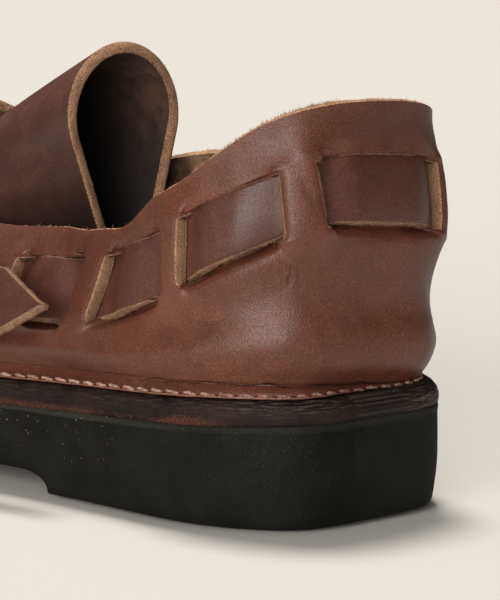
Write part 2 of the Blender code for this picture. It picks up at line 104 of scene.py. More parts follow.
# 0 below 0, 1 above 1, and 3t2 - 2t3 between
def ease(t):
    t = np.clip(t, 0.0, 1.0)
    return t * t * (3 - 2 * t)


# a bell along a length: 1 at its middle, e to the minus distance over spread squared
def bell(length, middle, spread):
    return np.exp(-((length - middle) / spread) ** 2)


# vectors over their own lengths
def unit(vectors):
    return vectors / np.maximum(np.linalg.norm(vectors, axis=-1, keepdims=True), 1e-9)


# smooth unevenness: a sum of sine waves in random directions, lumps about one size across
def lumps(points, size, seed, waves=14):
    picked = np.random.default_rng(seed)
    turns = unit(picked.normal(size=(waves, 3))) * picked.uniform(0.6, 1.5, (waves, 1)) * math.pi / size
    phases = picked.uniform(0, 2 * math.pi, waves)
    return np.sin(points @ turns.T + phases).sum(axis=-1) / math.sqrt(waves)


# lumps of several sizes added up: each row is size, seed, height
def unevenness(points, rows):
    return sum(height * lumps(points, size, seed) for size, seed, height in rows)


# length run along a line of points, up to each of them
def lengthsAlong(points):
    return np.concatenate([[0.0], np.cumsum(np.linalg.norm(np.diff(points, axis=0), axis=1))])


# points of a plan, each with its height
def raised(plan, height):
    return np.concatenate([plan, height[..., None]], axis=-1)


# numbers from start on, laid out in a grid
def numbered(shape, start=0):
    return start + np.arange(math.prod(shape)).reshape(shape)


# a grid with its first row or column repeated at its end
def closed(grid, axis=0):
    return np.concatenate([grid, np.take(grid, [0], axis)], axis)


# the sole's plan as one closed curve: ring 0 is the heel's back, 1 the toe, 1 to 2 the medial side
def soleEdge(samples=6000):
    rows = sole["plan"]
    lateral = [(-left, along) for along, left, _ in rows]
    medial = [(right, along) for along, _, right in reversed(rows)]
    points = np.array([(0.0, 0.0)] + lateral + [(sole["toeTipX"], sole["length"])] + medial)
    chords = np.linalg.norm(np.roll(points, -1, axis=0) - points, axis=1)
    knots = np.concatenate([[0.0], np.cumsum(chords)[:-1]])
    points = loopThrough(np.linspace(0.0, chords.sum(), samples), chords.sum(), knots, points)
    along = unit(np.gradient(points, axis=0))
    arc = lengthsAlong(points)
    toe = np.argmax(points[:, 1])
    medialArc = arc[-1] - arc[toe]
    ring = np.where(arc <= arc[toe], arc / arc[toe], 1 + (arc - arc[toe]) / medialArc)
    out = np.stack([-along[:, 1], along[:, 0]], axis=1)
    return dict(points=points, out=out, ring=ring, toe=toe, lateralArc=arc[toe], medialArc=medialArc,
                total=arc[-1])


edge = soleEdge()
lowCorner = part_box("midsole")[0]
shift = np.array([lowCorner.x / mm - edge["points"][:, 0].min(),
                  lowCorner.y / mm - edge["points"][:, 1].min(), 0.0])


# mm from the heel to metres in the frame
def put(points):
    return (np.asarray(points) + shift) * mm


# length along the edge from the heel's back, on round the toe or backwards, to ring
def ringOf(arc):
    arc = np.asarray(arc, float) % edge["total"]
    front = edge["lateralArc"]
    return np.where(arc <= front, arc / front, 1 + (arc - front) / edge["medialArc"]) % 2


# ring to length along the edge, medial side negative
def arcOf(ring):
    ring = np.asarray(ring, float) % 2
    return np.where(ring <= 1, ring * edge["lateralArc"], (ring - 2) * edge["medialArc"])


# the edge's samples, interpolated by ring
def onEdge(ring, key):
    ring = np.asarray(ring, float) % 2
    return np.stack([np.interp(ring, edge["ring"], edge[key][:, k]) for k in (0, 1)], axis=-1)


# outward direction of the edge
def edgeOut(ring):
    return unit(onEdge(ring, "out"))


# the edge itself, moved in by inset
def edgeAt(ring, inset=0.0):
    return onEdge(ring, "points") - edgeOut(ring) * np.broadcast_to(inset, np.shape(ring))[..., None]


# how far the heel's back is set in from the sole's edge: a bell along the edge
def heelSet(ring):
    return sole["heelSet"] * bell(arcOf(ring), 0.0, sole["heelSetSpread"])


# toe spring: the square of the share of the way to the toe
def springAt(station):
    ahead = np.clip(station - sole["springFrom"], 0, None) / (sole["length"] - sole["springFrom"])
    return sole["toeSpring"] * ahead ** 2


# underside of the rubber: flat heel and ball, a rounded notch ahead of the heel, toe spring
def treadAt(station):
    rise = np.sqrt(1 - (1 - np.clip((station - sole["notchAt"]) / sole["notchRise"], 0, 1)) ** 2)
    fall = np.clip((station - sole["notchFallFrom"]) / (sole["notchEnd"] - sole["notchFallFrom"]), 0, 1)
    return sole["notchDepth"] * rise * 0.5 * (1 + np.cos(np.pi * fall)) + springAt(station)


# top of the rubber: falling evenly from the heel, plus the toe spring
def rubberTop(station):
    return sole["rubberHeel"] - sole["rubberDrop"] * station + springAt(station)


# top of the midsole, pressed a little thinner at the heel's back
def midsoleTop(station):
    pressed = sole["pressed"] * bell(station, 0.0, sole["pressedSpread"])
    return rubberTop(station) + sole["gap"] + sole["midsoleThick"] - pressed


# top of the midsole under the edge
def groundAt(ring):
    return midsoleTop(edgeAt(ring)[..., 1])


# an object for the data, linked into the scene
def addObject(name, data):
    made = bpy.data.objects.new(name, data)
    bpy.context.scene.collection.objects.link(made)
    return made


# merges points that meet, where asked, and turns the faces outward
def cleanMesh(mesh, weld):
    body = bmesh.new()
    body.from_mesh(mesh)
    if weld:
        bmesh.ops.remove_doubles(body, verts=body.verts, dist=1e-7)
        bmesh.ops.dissolve_degenerate(body, edges=body.edges, dist=1e-8)
    bmesh.ops.recalc_face_normals(body, faces=body.faces)
    body.to_mesh(mesh)
    body.free()


# a mesh from points in mm and its faces, with named numbers on its points and a uv for each corner
def addPiece(name, points, faces, finish, node=None, layers=None, uv=None, weld=False):
    mesh = bpy.data.meshes.new(name)
    faces = faces.tolist() if isinstance(faces, np.ndarray) else faces
    mesh.from_pydata(put(points).tolist(), [], faces)
    for key, values in (layers or {}).items():
        layer = mesh.attributes.new(key, "FLOAT", "POINT")
        layer.data.foreach_set("value", np.asarray(values, np.float32).ravel())
    if uv is not None:
        mesh.uv_layers.new(name="skin").data.foreach_set("uv", np.asarray(uv, np.float32).ravel())
    cleanMesh(mesh, weld)
    mesh.shade_smooth()
    mesh.materials.append(finish)
    piece = addObject(name, mesh)
    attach(piece, "root")
    if node:
        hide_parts(node)
    print("piece", name, len(mesh.vertices), "points")
    return piece


# unit normals of a grid: the cross product of its two directions
def gridNormals(grid, closed=False):
    if closed:
        first = np.roll(grid, -1, axis=0) - np.roll(grid, 1, axis=0)
    else:
        first = np.gradient(grid, axis=0)
    return unit(np.cross(np.gradient(grid, axis=1), first))


# the four corners of every cell of a grid
def gridQuads(grid):
    width = grid.shape[2:]
    corners = np.stack([grid[:-1, :-1], grid[:-1, 1:], grid[1:, 1:], grid[1:, :-1]], axis=2)
    return corners.reshape((-1, 4) + width)


# rows of points between two lines of points, at the given shares of the way
def between(first, second, share):
    return first[:, None] * (1 - share)[:, None] + second[:, None] * share[:, None]


# a cut sheet: a grid moved half its thickness both ways and closed by a raw edge all round;
# bevel pulls the face in along its lower and its upper side, so that the raw edge shows there
def cutSheet(grid, thick, bevel=(0.0, 0.0), bulge=0.3, edgeRows=8, seed=1):
    rows, columns = grid.shape[:2]
    normal = gridNormals(grid)
    alongI = unit(np.gradient(grid, axis=0))
    alongJ = unit(np.gradient(grid, axis=1))
    across = np.linspace(-1, 1, columns)
    pull = bevel[0] * np.clip(-across, 0, 1) - bevel[1] * np.clip(across, 0, 1)
    outer = grid + normal * thick / 2 + alongJ * pull[None, :, None]
    inner = grid - normal * thick / 2
    sides = [np.stack([np.arange(rows), np.zeros(rows, int)], 1),
             np.stack([np.full(columns, rows - 1), np.arange(columns)], 1),
             np.stack([np.arange(rows)[::-1], np.full(rows, columns - 1)], 1),
             np.stack([np.zeros(columns, int), np.arange(columns)[::-1]], 1)]
    i, j = np.concatenate([side[:-1] for side in sides]).T
    away = ((i == rows - 1) * 1.0 - (i == 0))[:, None] * alongI[i, j]
    away = unit(away + ((j == columns - 1) * 1.0 - (j == 0))[:, None] * alongJ[i, j])
    share = np.linspace(0, 1, edgeRows)[1:-1]
    rim = between(outer[i, j], inner[i, j], share)
    ragged = bulge * np.sin(np.pi * share) ** 0.5 + 0.10 * lumps(rim, 1.1, seed)
    rim = rim + away[:, None] * ragged[..., None]
    count = rows * columns
    numbers = numbered((rows, columns))
    lip = numbers[i, j][:, None]
    strip = np.concatenate([lip, numbered(rim.shape[:2], 2 * count), lip + count], axis=1)
    points = np.concatenate([outer.reshape(-1, 3), inner.reshape(-1, 3), rim.reshape(-1, 3)])
    quads = np.concatenate([gridQuads(numbers), gridQuads(numbers + count), gridQuads(closed(strip))])
    cut = np.zeros(len(points))
    cut[numbers[i, j]] = 0.5
    cut[numbers[i, j] + count] = 0.8
    cut[2 * count:] = 1.0
    flesh = np.zeros(len(points))
    flesh[count:2 * count] = 1.0
    edges = dict(roots=rim, away=away, normal=normal[i, j])
    return points, quads, {"cut": cut, "flesh": flesh}, edges


print("shapes ready")


class Wire:                                # one socket: sums on it become Math nodes
    def __init__(self, tree, socket=None):
        self.tree = tree
        self.socket = socket

    # any node: its type, its settings, then the values or links of its sockets
    def node(self, kind, settings=None, sockets=None, out=0):
        made = self.tree.nodes.new(kind)
        for key, value in (settings or {}).items():
            setattr(made, key, value)
        for key, value in (sockets or {}).items():
            if isinstance(value, Wire):
                self.tree.links.new(value.socket, made.inputs[key])
            else:
                made.inputs[key].default_value = value
        return Wire(self.tree, made.outputs[out])

    # a Math node on two values
    def maths(self, operation, a, b=0.0):
        return self.node("ShaderNodeMath", {"operation": operation}, {0: a, 1: b})

    def __add__(self, other):
        return self.maths("ADD", self, other)

    def __sub__(self, other):
        return self.maths("SUBTRACT", self, other)

    def __rsub__(self, other):
        return self.maths("SUBTRACT", other, self)

    def __mul__(self, other):
        return self.maths("MULTIPLY", self, other)

    def __truediv__(self, other):
        return self.maths("DIVIDE", self, other)

    __radd__ = __add__
    __rmul__ = __mul__

    # 0 below low, 1 above high, smooth between
    def step(self, low, high):
        return self.node("ShaderNodeMapRange", {"interpolation_type": "SMOOTHSTEP"},
                         {"Value": self, "From Min": low, "From Max": high})

    # a colour between two, by this share
    def mix(self, first, second):
        return self.node("ShaderNodeMix", {"data_type": "RGBA"}, {0: self, 6: first, 7: second}, out=2)

    # another output of this socket's node
    def other(self, out):
        return Wire(self.tree, self.socket.node.outputs[out])

    # this socket into an input of the shader
    def feed(self, shader, name):
        self.tree.links.new(self.socket, shader.inputs[name])


# a material with a Principled shader; plain numbers go straight to its sockets
def newFinish(name, constants):
    material = bpy.data.materials.new(name)
    material.use_nodes = True
    shader = material.node_tree.nodes["Principled BSDF"]
    for key, value in constants.items():
        shader.inputs[key].default_value = value
    pen = Wire(material.node_tree)
    place = pen.node("ShaderNodeTexCoord", out=3)
    return material, shader, pen, place


# cloudy pattern from 0 to 1, with lumps of about that size in mm
def cloud(pen, place, size, detail=4.0, rough=0.55):
    return pen.node("ShaderNodeTexNoise", None, {"Vector": place, "Scale": 1 / (size * mm),
                                                 "Detail": detail, "Roughness": rough})


# cloudy pattern on the piece's own uv, drawn out to that width and height in mm and turned
def drawnCloud(pen, size, detail, rough=0.5, turn=0.0):
    skin = pen.node("ShaderNodeUVMap", {"uv_map": "skin"})
    drawn = pen.node("ShaderNodeMapping", None, {"Vector": skin, "Rotation": (0, 0, turn),
                                                 "Scale": (100 / size[0], 100 / size[1], 1.0)})
    return pen.node("ShaderNodeTexNoise", None, {"Vector": drawn, "Scale": 1.0, "Detail": detail,
                                                 "Roughness": rough})


# cells of about that size in mm: distance from each cell's middle, in cells
def cells(pen, place, size):
    return pen.node("ShaderNodeTexVoronoi", None, {"Vector": place, "Scale": 1 / (size * mm)})


# relief of that depth in mm
def relief(pen, height, depth, under=None):
    sockets = {"Height": height, "Distance": depth * mm}
    if under:
        sockets["Normal"] = under
    return pen.node("ShaderNodeBump", None, sockets)


# a number stored on the mesh's points
def mark(pen, name):
    return pen.node("ShaderNodeAttribute", {"attribute_name": name}, out=2)


thread = dict(pitch=4.35, length=3.65, radius=0.34, arch=0.40, inset=1.15, rise=1.25, tilt=0.40)
thread["count"] = round(edge["total"] / thread["pitch"])
thread["pitch"] = edge["total"] / thread["count"]          # a whole number of stitches round the sole
# the near-black tone that each leather look mixes in is painted shade (the shade mark, the stitch holes, the
# crack); the thread's own such tone is real soil
upperLook = dict(
    light=(0.138, 0.040, 0.022, 1), dark=(0.086, 0.025, 0.014, 1), pore=(0.048, 0.014, 0.008, 1),
    worn=(0.160, 0.062, 0.043, 1), shadeAndSoil=(0.016, 0.008, 0.006, 1), rough=0.43, gloss=0.34, grain=0.12,
    fleshDark=(0.06, 0.032, 0.020, 1), fleshLight=(0.26, 0.145, 0.085, 1),
    # the dark raw tone last on this line is painted shade on the slot walls
    rawDark=(0.12, 0.058, 0.029, 1), rawLight=(0.62, 0.345, 0.20, 1), shadedRaw=(0.045, 0.023, 0.013, 1),
    trimDark=(0.050, 0.018, 0.012, 1), trimLight=(0.21, 0.078, 0.048, 1))
strapLook = dict(
    upperLook, light=(0.092, 0.029, 0.019, 1), dark=(0.060, 0.019, 0.013, 1),
    pore=(0.034, 0.011, 0.007, 1), rough=0.45, gloss=0.34, grain=0.06,
    rawDark=(0.075, 0.037, 0.020, 1), rawLight=(0.40, 0.222, 0.128, 1))
tongueLook = dict(
    upperLook, light=(0.128, 0.050, 0.036, 1), dark=(0.076, 0.029, 0.021, 1),
    pore=(0.044, 0.016, 0.012, 1), rough=0.45, gloss=0.36, grain=0.06,
    rawDark=(0.095, 0.045, 0.023, 1), rawLight=(0.50, 0.275, 0.16, 1),
    fleshDark=(0.022, 0.010, 0.006, 1), fleshLight=(0.12, 0.058, 0.036, 1),
    shadeAndSoil=(0.003, 0.002, 0.0015, 1))
insoleLook = dict(upperLook, light=(0.10, 0.05, 0.03, 1), dark=(0.06, 0.03, 0.018, 1), rough=0.6)
# heights up the leather in mm, from its raw edge
stitchSeam = dict(pitch=thread["pitch"], groove=2.1, crease=5.2, creaseSway=3.2, creaseBandDrop=0.6, creaseBandReach=3.6,
                  creaseBand=0.36, crackDepth=3.0, holeDepth=2.0,
                  wrinkleSize=(1.1, 3.5), wrinkleTurn=0.5, wrinkleDepth=2.0)


# adds the stitched seam to colour and relief, by length along the edge and height: the holes in their groove
# and the crack along the crease above, both with painted shade, a darker band just below the crease, the raw
# trim and the wrinkles
def addSeam(pen, place, look, seam, colour, shape, fibres, middle):
    apart = pen.node("ShaderNodeSeparateXYZ", None, {0: pen.node("ShaderNodeUVMap", {"uv_map": "skin"})})
    along = apart * 100.0
    up = apart.other(1) * 100.0
    turns = along / seam["pitch"]
    ahead = (turns - pen.maths("ROUND", turns)) * seam["pitch"]
    above = up - seam["groove"]
    holes = 1 - pen.maths("SQRT", ahead * ahead + above * above * 2.4).step(0.15, 0.55)
    rolled = mark(pen, "rolled")
    wobble = up - seam["crease"] + (cloud(pen, place, 5.0, 4.0) - 0.5) * seam["creaseSway"]
    crack = 1 - pen.maths("ABSOLUTE", wobble).step(0.05, 0.42)
    crack = crack * cloud(pen, place, 11.0, 2.0).step(0.28, 0.44) * (0.2 + rolled * 0.8)
    clearOfBand = pen.maths("ABSOLUTE", up - seam["crease"] + seam["creaseBandDrop"]).step(0.2, seam["creaseBandReach"])
    creaseBand = (1 - clearOfBand) * rolled
    trimTone = (fibres * 0.6 + middle * 0.4).step(0.35, 0.65).mix(look["trimDark"], look["trimLight"])
    # darker in a band just below the crease, at the heel
    colour = (creaseBand * seam["creaseBand"]).mix(colour, look["shadeAndSoil"])
    colour = (mark(pen, "trim") * (0.35 + fibres)).step(0.3, 0.7).mix(colour, trimTone)
    # painted shade in the stitch holes and along the crack
    colour = (holes * 0.6 + crack * 0.75).mix(colour, look["shadeAndSoil"])
    wrinkle = drawnCloud(pen, seam["wrinkleSize"], 2.0, turn=seam["wrinkleTurn"]).step(0.35, 0.65)
    shape = shape + wrinkle * mark(pen, "wrinkled") * seam["wrinkleDepth"]
    shape = shape - crack * seam["crackDepth"] - holes * seam["holeDepth"]
    return colour, shape


# oiled leather: mottled colour, fine grain, raw cut edges and a flesh side, painted shade where marked, and a
# seam where it has one
def leatherFinish(name, look, seam=None):
    material, shader, pen, place = newFinish(name, {"Specular IOR Level": look["gloss"],
                                                    "IOR": 1.5, "Coat Roughness": 0.3})
    cut = mark(pen, "cut")
    flesh = mark(pen, "flesh")
    broad = cloud(pen, place, 24.0, 3.0)
    middle = cloud(pen, place, 4.5, 4.0)
    fine = cloud(pen, place, 0.38, 1.5, 0.6)
    pores = cells(pen, place, 0.5).step(0.0, 0.5)
    fibres = cloud(pen, place, 0.34, 4.0, 0.7)
    tone = (broad * 0.55 + middle * 0.45).step(0.34, 0.66)
    colour = tone.mix(look["dark"], look["light"])
    colour = (fine.step(0.40, 0.60) * 0.75).mix(colour, look["pore"])
    colour = (mark(pen, "worn") * (0.5 + middle * 0.8)).mix(colour, look["worn"])
    shape = fine * 0.6 + pores * 0.3 + middle * 0.3
    if seam:
        colour, shape = addSeam(pen, place, look, seam, colour, shape, fibres, middle)
    suede = (fibres * 0.6 + middle * 0.4).step(0.36, 0.64).mix(look["fleshDark"], look["fleshLight"])
    raw = (fibres * 0.8 + middle * 0.2).step(0.34, 0.62).mix(look["rawDark"], look["rawLight"])
    # painted shade on the slot walls: their raw edge darkened by the mark on the walls
    raw = (mark(pen, "wallShade") * (0.35 + fibres)).mix(raw, look["shadedRaw"])
    colour = flesh.mix(colour, suede)
    # painted shade: the colour darkened where the shade mark says, on the upper's face and on the tongue
    colour = mark(pen, "shade").mix(colour, look["shadeAndSoil"])
    bare = (cut + (fibres - 0.5) * 0.5).step(0.35, 0.62)
    colour = bare.mix(colour, raw)
    colour.feed(shader, "Base Color")
    rough = look["rough"] + (middle - 0.5) * 0.22 + (fine - 0.5) * 0.14
    rough = rough + (0.92 - rough) * bare
    rough = rough + (0.95 - rough) * flesh
    rough.feed(shader, "Roughness")
    grain = relief(pen, shape, look["grain"])
    relief(pen, fibres * (bare + flesh), 0.5, grain).feed(shader, "Normal")
    return material


upperLeather = leatherFinish("oiled upper leather", upperLook, stitchSeam)
strapLeather = leatherFinish("oiled strap leather", strapLook)
tongueLeather = leatherFinish("oiled tongue leather", tongueLook)
insoleLeather = leatherFinish("insole leather", insoleLook)

rubberLook = dict(dark=(0.0032, 0.0032, 0.0027, 1), light=(0.0076, 0.0074, 0.0061, 1),
                  lip=(0.024, 0.024, 0.018, 1), dust=(0.20, 0.155, 0.10, 1), rough=0.74, pores=0.12)
edgeLook = dict(dark=(0.0060, 0.0040, 0.0034, 1), light=(0.0200, 0.0105, 0.0080, 1),
                rubbedAndSheen=(0.18, 0.14, 0.12, 1), tornDark=(0.028, 0.011, 0.008, 1),
                tornLight=(0.085, 0.032, 0.020, 1), rough=0.50, relief=0.25, streak=(5.0, 0.45))


# foam rubber: near black, fine open pores, a paler lip and tan dust specks
def rubberFinish(look):
    material, shader, pen, place = newFinish("foam rubber", {"Specular IOR Level": 0.10})
    pores = cells(pen, place, 0.55)
    broad = cloud(pen, place, 9.0, 4.0)
    fine = cloud(pen, place, 0.7, 4.0, 0.65)
    speck = (0.15 - cells(pen, place, 1.3)).step(0.0, 0.05) * cloud(pen, place, 7.0, 2.0).step(0.40, 0.55)
    colour = (broad * 0.6 + fine * 0.4).step(0.35, 0.65).mix(look["dark"], look["light"])
    colour = (mark(pen, "lip") * (0.3 + fine)).mix(colour, look["lip"])
    colour = (speck * mark(pen, "dust")).mix(colour, look["dust"])
    colour.feed(shader, "Base Color")
    rough = look["rough"] + (broad - 0.5) * 0.2
    rough.feed(shader, "Roughness")
    relief(pen, pores.step(0.05, 0.45) + broad, look["pores"]).feed(shader, "Normal")
    return material


# stained sole leather: near black, pale streaks along its edge that are painted highlight with rubbed wear
# and scuffs, and torn red fibres below
def soleLeatherFinish(look):
    material, shader, pen, place = newFinish("stained sole leather", {"Specular IOR Level": 0.12})
    streak = drawnCloud(pen, look["streak"], 4.0, 0.6)
    broad = cloud(pen, place, 10.0, 4.0)
    fine = cloud(pen, place, 0.5, 4.0, 0.65)
    colour = (broad * 0.6 + fine * 0.4).step(0.35, 0.65).mix(look["dark"], look["light"])
    # pale streaks: painted highlight along the top, with rubbed wear and scuffs
    rubbedAndSheen = mark(pen, "rubbedAndSheen") * streak.step(0.48, 0.62) * fine.step(0.30, 0.55)
    colour = rubbedAndSheen.mix(colour, look["rubbedAndSheen"])
    frayed = streak * 0.25 + fine * 0.45 + broad * 0.30
    torn = (mark(pen, "torn") * frayed).step(0.24, 0.52)
    colour = torn.mix(colour, fine.step(0.35, 0.65).mix(look["tornDark"], look["tornLight"]))
    colour.feed(shader, "Base Color")
    rough = look["rough"] + (fine - 0.5) * 0.3
    rough.feed(shader, "Roughness")
    relief(pen, fine + broad + streak * 1.2, look["relief"]).feed(shader, "Normal")
    return material


foamRubber = rubberFinish(rubberLook)
soleLeather = soleLeatherFinish(edgeLook)
print("finishes ready")

# marks on the sole's side, by length along the edge from the heel's back and by level up the side
soleMarks = dict(
    lip=(0.35, 40.0, 40.0), dust=(0.15, 55.0, 25.0), dustAbove=4,             # least share, start, reach
    heelGrey=0.28, heelGreyFrom=12.0, heelGreyReach=25.0, heelGreyEnd=-60.0,
    tornBelow=5.2, tornLeast=0.25, tornAt=(47.0, 9.0), tornAhead=0.7, tornAheadFrom=60.0, tornAheadReach=20.0,
    # pale streaks along the top of the midsole: painted highlight with rubbed wear; the scuff at the heel is
    # wear
    topStreakAbove=2.0, topStreakReach=3.0, topStreakLeast=0.12, rubbedAndSheen=0.4, topStreakAt=(22.0, 15.0),
    scuffAt=(-16.0, 7.0), scuffFrom=-0.5, scuffReach=1.5, scuffTo=6.0, scuffFall=3.0,
)


# a layer of the sole: side levels from lateral bottom to top, across, down the medial side and back;
# gives its points, its faces, a uv of length along the edge and level, and that length
def soleLayer(levels, across, stationCount, extra=()):
    turn = np.linspace(0.0, np.pi, stationCount)
    stations = (1 - np.cos(turn)) / 2 * sole["length"]
    stations = np.unique(np.concatenate([stations, extra]))
    toe = edge["toe"]
    lateral = np.interp(stations, edge["points"][:toe + 1, 1], edge["ring"][:toe + 1])
    medial = np.interp(-stations, -edge["points"][toe:, 1], edge["ring"][toe:])
    sides = []
    for ring in (lateral, medial):
        rows = [raised(edgeAt(ring, inset(ring)), height(stations)) for inset, height in levels]
        sides.append(np.stack(rows, axis=1))
    share = np.linspace(0, 1, across)[1:-1, None]
    top = sides[0][:, None, -1] * (1 - share) + sides[1][:, None, -1] * share
    bottom = sides[1][:, None, 0] * (1 - share) + sides[0][:, None, 0] * share
    sides[1][[0, -1]] = sides[0][[0, -1]]
    loop = np.concatenate([sides[0], top, sides[1][:, ::-1], bottom], axis=1)
    count = len(levels)
    level = np.concatenate([np.arange(count), np.full(across - 2, count), np.arange(count)[::-1],
                            np.full(across - 2, -1)]).astype(float)
    length = np.repeat(lateral[:, None] * edge["lateralArc"], loop.shape[1], axis=1)
    length[:, count + across - 2:] = ((medial - 2) * edge["medialArc"])[:, None]
    uv = np.stack([length, np.repeat(level[None], len(stations), axis=0)], axis=-1) / 100
    return loop, gridQuads(closed(numbered(loop.shape[:2]), 1)), gridQuads(closed(uv, 1)), length, level


# the least share up to start, then eased up to 1
def fadeIn(length, least, start, reach):
    return least + (1 - least) * ease((length - start) / reach)


# 0 round the heel, 1 where the rubber has its lip
def lipAt(ring):
    return ease((np.abs(arcOf(ring)) - sole["lipFrom"]) / sole["lipOver"])


# rubber: side levels between the tread and its top, with a paler lip, greyed at the heel and dusty ahead
def buildOutsole():
    levels = [(lambda r, a=inset, b=plain: b + (a - b) * lipAt(r),
               lambda s, f=share: treadAt(s) * (1 - f) + rubberTop(s) * f)
              for inset, plain, share in sole["rubberSide"]]
    notch = sole["notchAt"] + sole["notchRise"] * np.linspace(0, 1, 9) ** 2
    loop, quads, _, length, level = soleLayer(levels, 14, 200, notch)
    topLevel = len(levels) - 1
    lip = (level >= topLevel - 2) * (level <= topLevel) * fadeIn(length, *soleMarks["lip"])
    grey = ease((soleMarks["heelGreyFrom"] - length) / soleMarks["heelGreyReach"])
    lip = lip + soleMarks["heelGrey"] * grey * (length > soleMarks["heelGreyEnd"])
    dusty = fadeIn(length, *soleMarks["dust"])
    dust = (level > soleMarks["dustAbove"]) * dusty * ease((level + 1) / topLevel)
    addPiece("foam_outsole", loop.reshape(-1, 3), quads, foamRubber, "outsole",
             {"lip": lip, "dust": dust}, weld=True)


# midsole: side levels from just on the rubber to its own top, uneven, torn low down, with pale streaks above
# that are painted highlight with rubbed wear, and a scuff at the heel
def buildMidsole():
    foot = sole["pressedOn"]                     # the edge looks pressed on to the rubber
    levels = [(lambda r, a=inset, f=share: a + f ** 6 * heelSet(r),
               lambda s, f=share: (rubberTop(s) + foot) * (1 - f) + midsoleTop(s) * f)
              for inset, share in sole["midsoleSide"]]
    loop, quads, uv, length, level = soleLayer(levels, 10, 300)
    marks = soleMarks
    low = ease((marks["tornBelow"] - level) / marks["tornBelow"]) * (level >= 0)
    ahead = ease((length - marks["tornAheadFrom"]) / marks["tornAheadReach"])
    torn = low * (marks["tornLeast"] + bell(length, *marks["tornAt"]) + marks["tornAhead"] * ahead)
    # pale streaks along the top: painted highlight with rubbed wear, strongest at one length along the edge;
    # the scuff at the heel is wear
    high = ease((level - marks["topStreakAbove"]) / marks["topStreakReach"])
    scuffed = (ease((level - marks["scuffFrom"]) / marks["scuffReach"])
               * ease((marks["scuffTo"] - level) / marks["scuffFall"]) * bell(length, *marks["scuffAt"]))
    rubbedAndSheen = high * (marks["rubbedAndSheen"] * bell(length, *marks["topStreakAt"]) + marks["topStreakLeast"]) + scuffed
    points = loop.reshape(-1, 3)
    rough = unevenness(points, sole["edgeLumps"])[:, None] * np.array([1.0, 1.0, 0.0])
    addPiece("edge_midsole", points + rough, quads, soleLeather, "midsole",
             {"torn": torn, "rubbedAndSheen": rubbedAndSheen}, uv=uv, weld=True)


# insole: a board on the midsole, set in from the edge
def buildInsole():
    levels = [(lambda r, a=sole["insoleIn"] + more: a + 0 * r,
               lambda s, f=share: midsoleTop(s) + sole["gap"] + sole["insoleThick"] * f)
              for more, share in sole["insoleSide"]]
    loop, quads = soleLayer(levels, 12, 120)[:2]
    addPiece("foot_bed", loop.reshape(-1, 3), quads, insoleLeather, "insole", weld=True)


buildOutsole()
buildMidsole()
buildInsole()

# rough rows are size, seed, height of unevenness; heights up the wall are shares of its length
upper = dict(
    thick=2.6, featherIn=3.6, creaseRise=3.4, heelSetFade=0.045, underside=0.45,
    heelCup=2.65, cupAt=0.14, cupSpread=0.12, swell=3.2, swellAt=0.56, swellSpread=0.26,
    swellFade=(0.06, 0.20), toePuff=6.0, vampFrom=0.40, vampBlend=0.35, instepSlope=0.4, throatX=3.0,
    rollMiddle=10.0, rollSpread=34.0, foldIn=3.35, creaseEnds=0.7,
    shrink=0.85, shrinkMiddle=-16.0, shrinkSpread=25.0, lowFold=0.82,
    rough=[(13.0, 21, 0.16), (4.0, 22, 0.06)], roughFrom=0.05, foldRough=[(3.2, 23, 0.14)],
    rimBulge=0.35, rimRough=[(1.2, 24, 0.09)], wallBulge=0.22, wallRough=[(1.1, 25, 0.07)],
    # turned-out fold from its raw edge over the stitched groove to the crease: inset and rise of the
    # rolled fold at the heel, then of the plain one along the side
    fold=[(2.4, 0.42, 2.4, 0.42), (1.3, 0.45, 1.3, 0.45), (1.0, 0.65, 1.0, 0.62),
          (1.06, 1.0, 1.05, 0.92), (1.34, 1.26, 1.32, 1.14), (1.46, 1.62, 1.64, 1.36),
          (1.68, 2.02, 1.96, 1.62), (2.05, 2.42, 2.30, 1.92), (2.5, 2.75, 2.66, 2.30),
          (2.95, 3.0, 3.02, 2.76), (3.35, 3.2, 3.35, 3.2)],
    # around, from heel, half width, lateral height, medial height, lateral drop, medial drop
    collar=[(0.00, 1.0, 0.0, 60.7, 60.7, 17.7, 17.7), (0.05, 3.0, 16.6, 60.0, 58.7, 17.3, 17.4),
            (0.09, 11.2, 24.8, 56.0, 54.8, 17.6, 17.2), (0.13, 23.4, 29.8, 47.6, 51.0, 15.0, 17.0),
            (0.20, 45.5, 29.4, 36.6, 48.0, 13.0, 17.5), (0.25, 62.0, 26.8, 33.0, 47.5, 12.8, 18.0),
            (0.30, 78.0, 24.0, 33.0, 47.0, 13.5, 18.5), (0.36, 96.0, 22.5, 33.0, 45.0, 14.0, 18.5),
            (0.45, 118.0, 21.5, 36.0, 44.5, 14.0, 17.0), (0.55, 134.0, 19.0, 42.5, 46.0, 14.0, 15.0),
            (0.70, 146.0, 12.0, 49.0, 50.0, 14.0, 14.0), (0.85, 151.0, 5.5, 52.0, 52.0, 14.0, 14.0),
            (1.00, 152.5, 0.0, 53.0, 53.0, 14.0, 14.0)],
    # waves of the collar's height: length along the edge, height, spread
    scallops=[(71.0, -1.3, 6.0), (58.0, 1.0, 6.0), (95.0, 0.6, 7.0)],
    # creases: length along the edge and rise at both ends, depth, half width
    creases=[(27.0, 0.47, 28.5, 0.38, 0.35, 0.7), (25.0, 0.50, 26.4, 0.36, 0.42, 0.7),
             (23.0, 0.51, 24.6, 0.35, 0.40, 0.7), (21.0, 0.50, 22.6, 0.36, 0.32, 0.7),
             (20.5, 0.74, 18.6, 0.69, 0.35, 0.7), (26.5, 0.93, 19.5, 0.80, 0.30, 1.3),
             (2.0, 0.16, 40.0, 0.10, 0.30, 2.4), (-12.0, 0.30, 8.0, 0.22, 0.35, 3.0),
             (52.0, 0.86, 56.0, 0.20, 0.35, 2.4), (80.0, 0.30, 62.0, 0.16, 0.35, 2.6),
             (-60.0, 0.24, -20.0, 0.18, 0.30, 2.4), (-95.0, 0.20, -70.0, 0.28, 0.30, 2.4)],
)
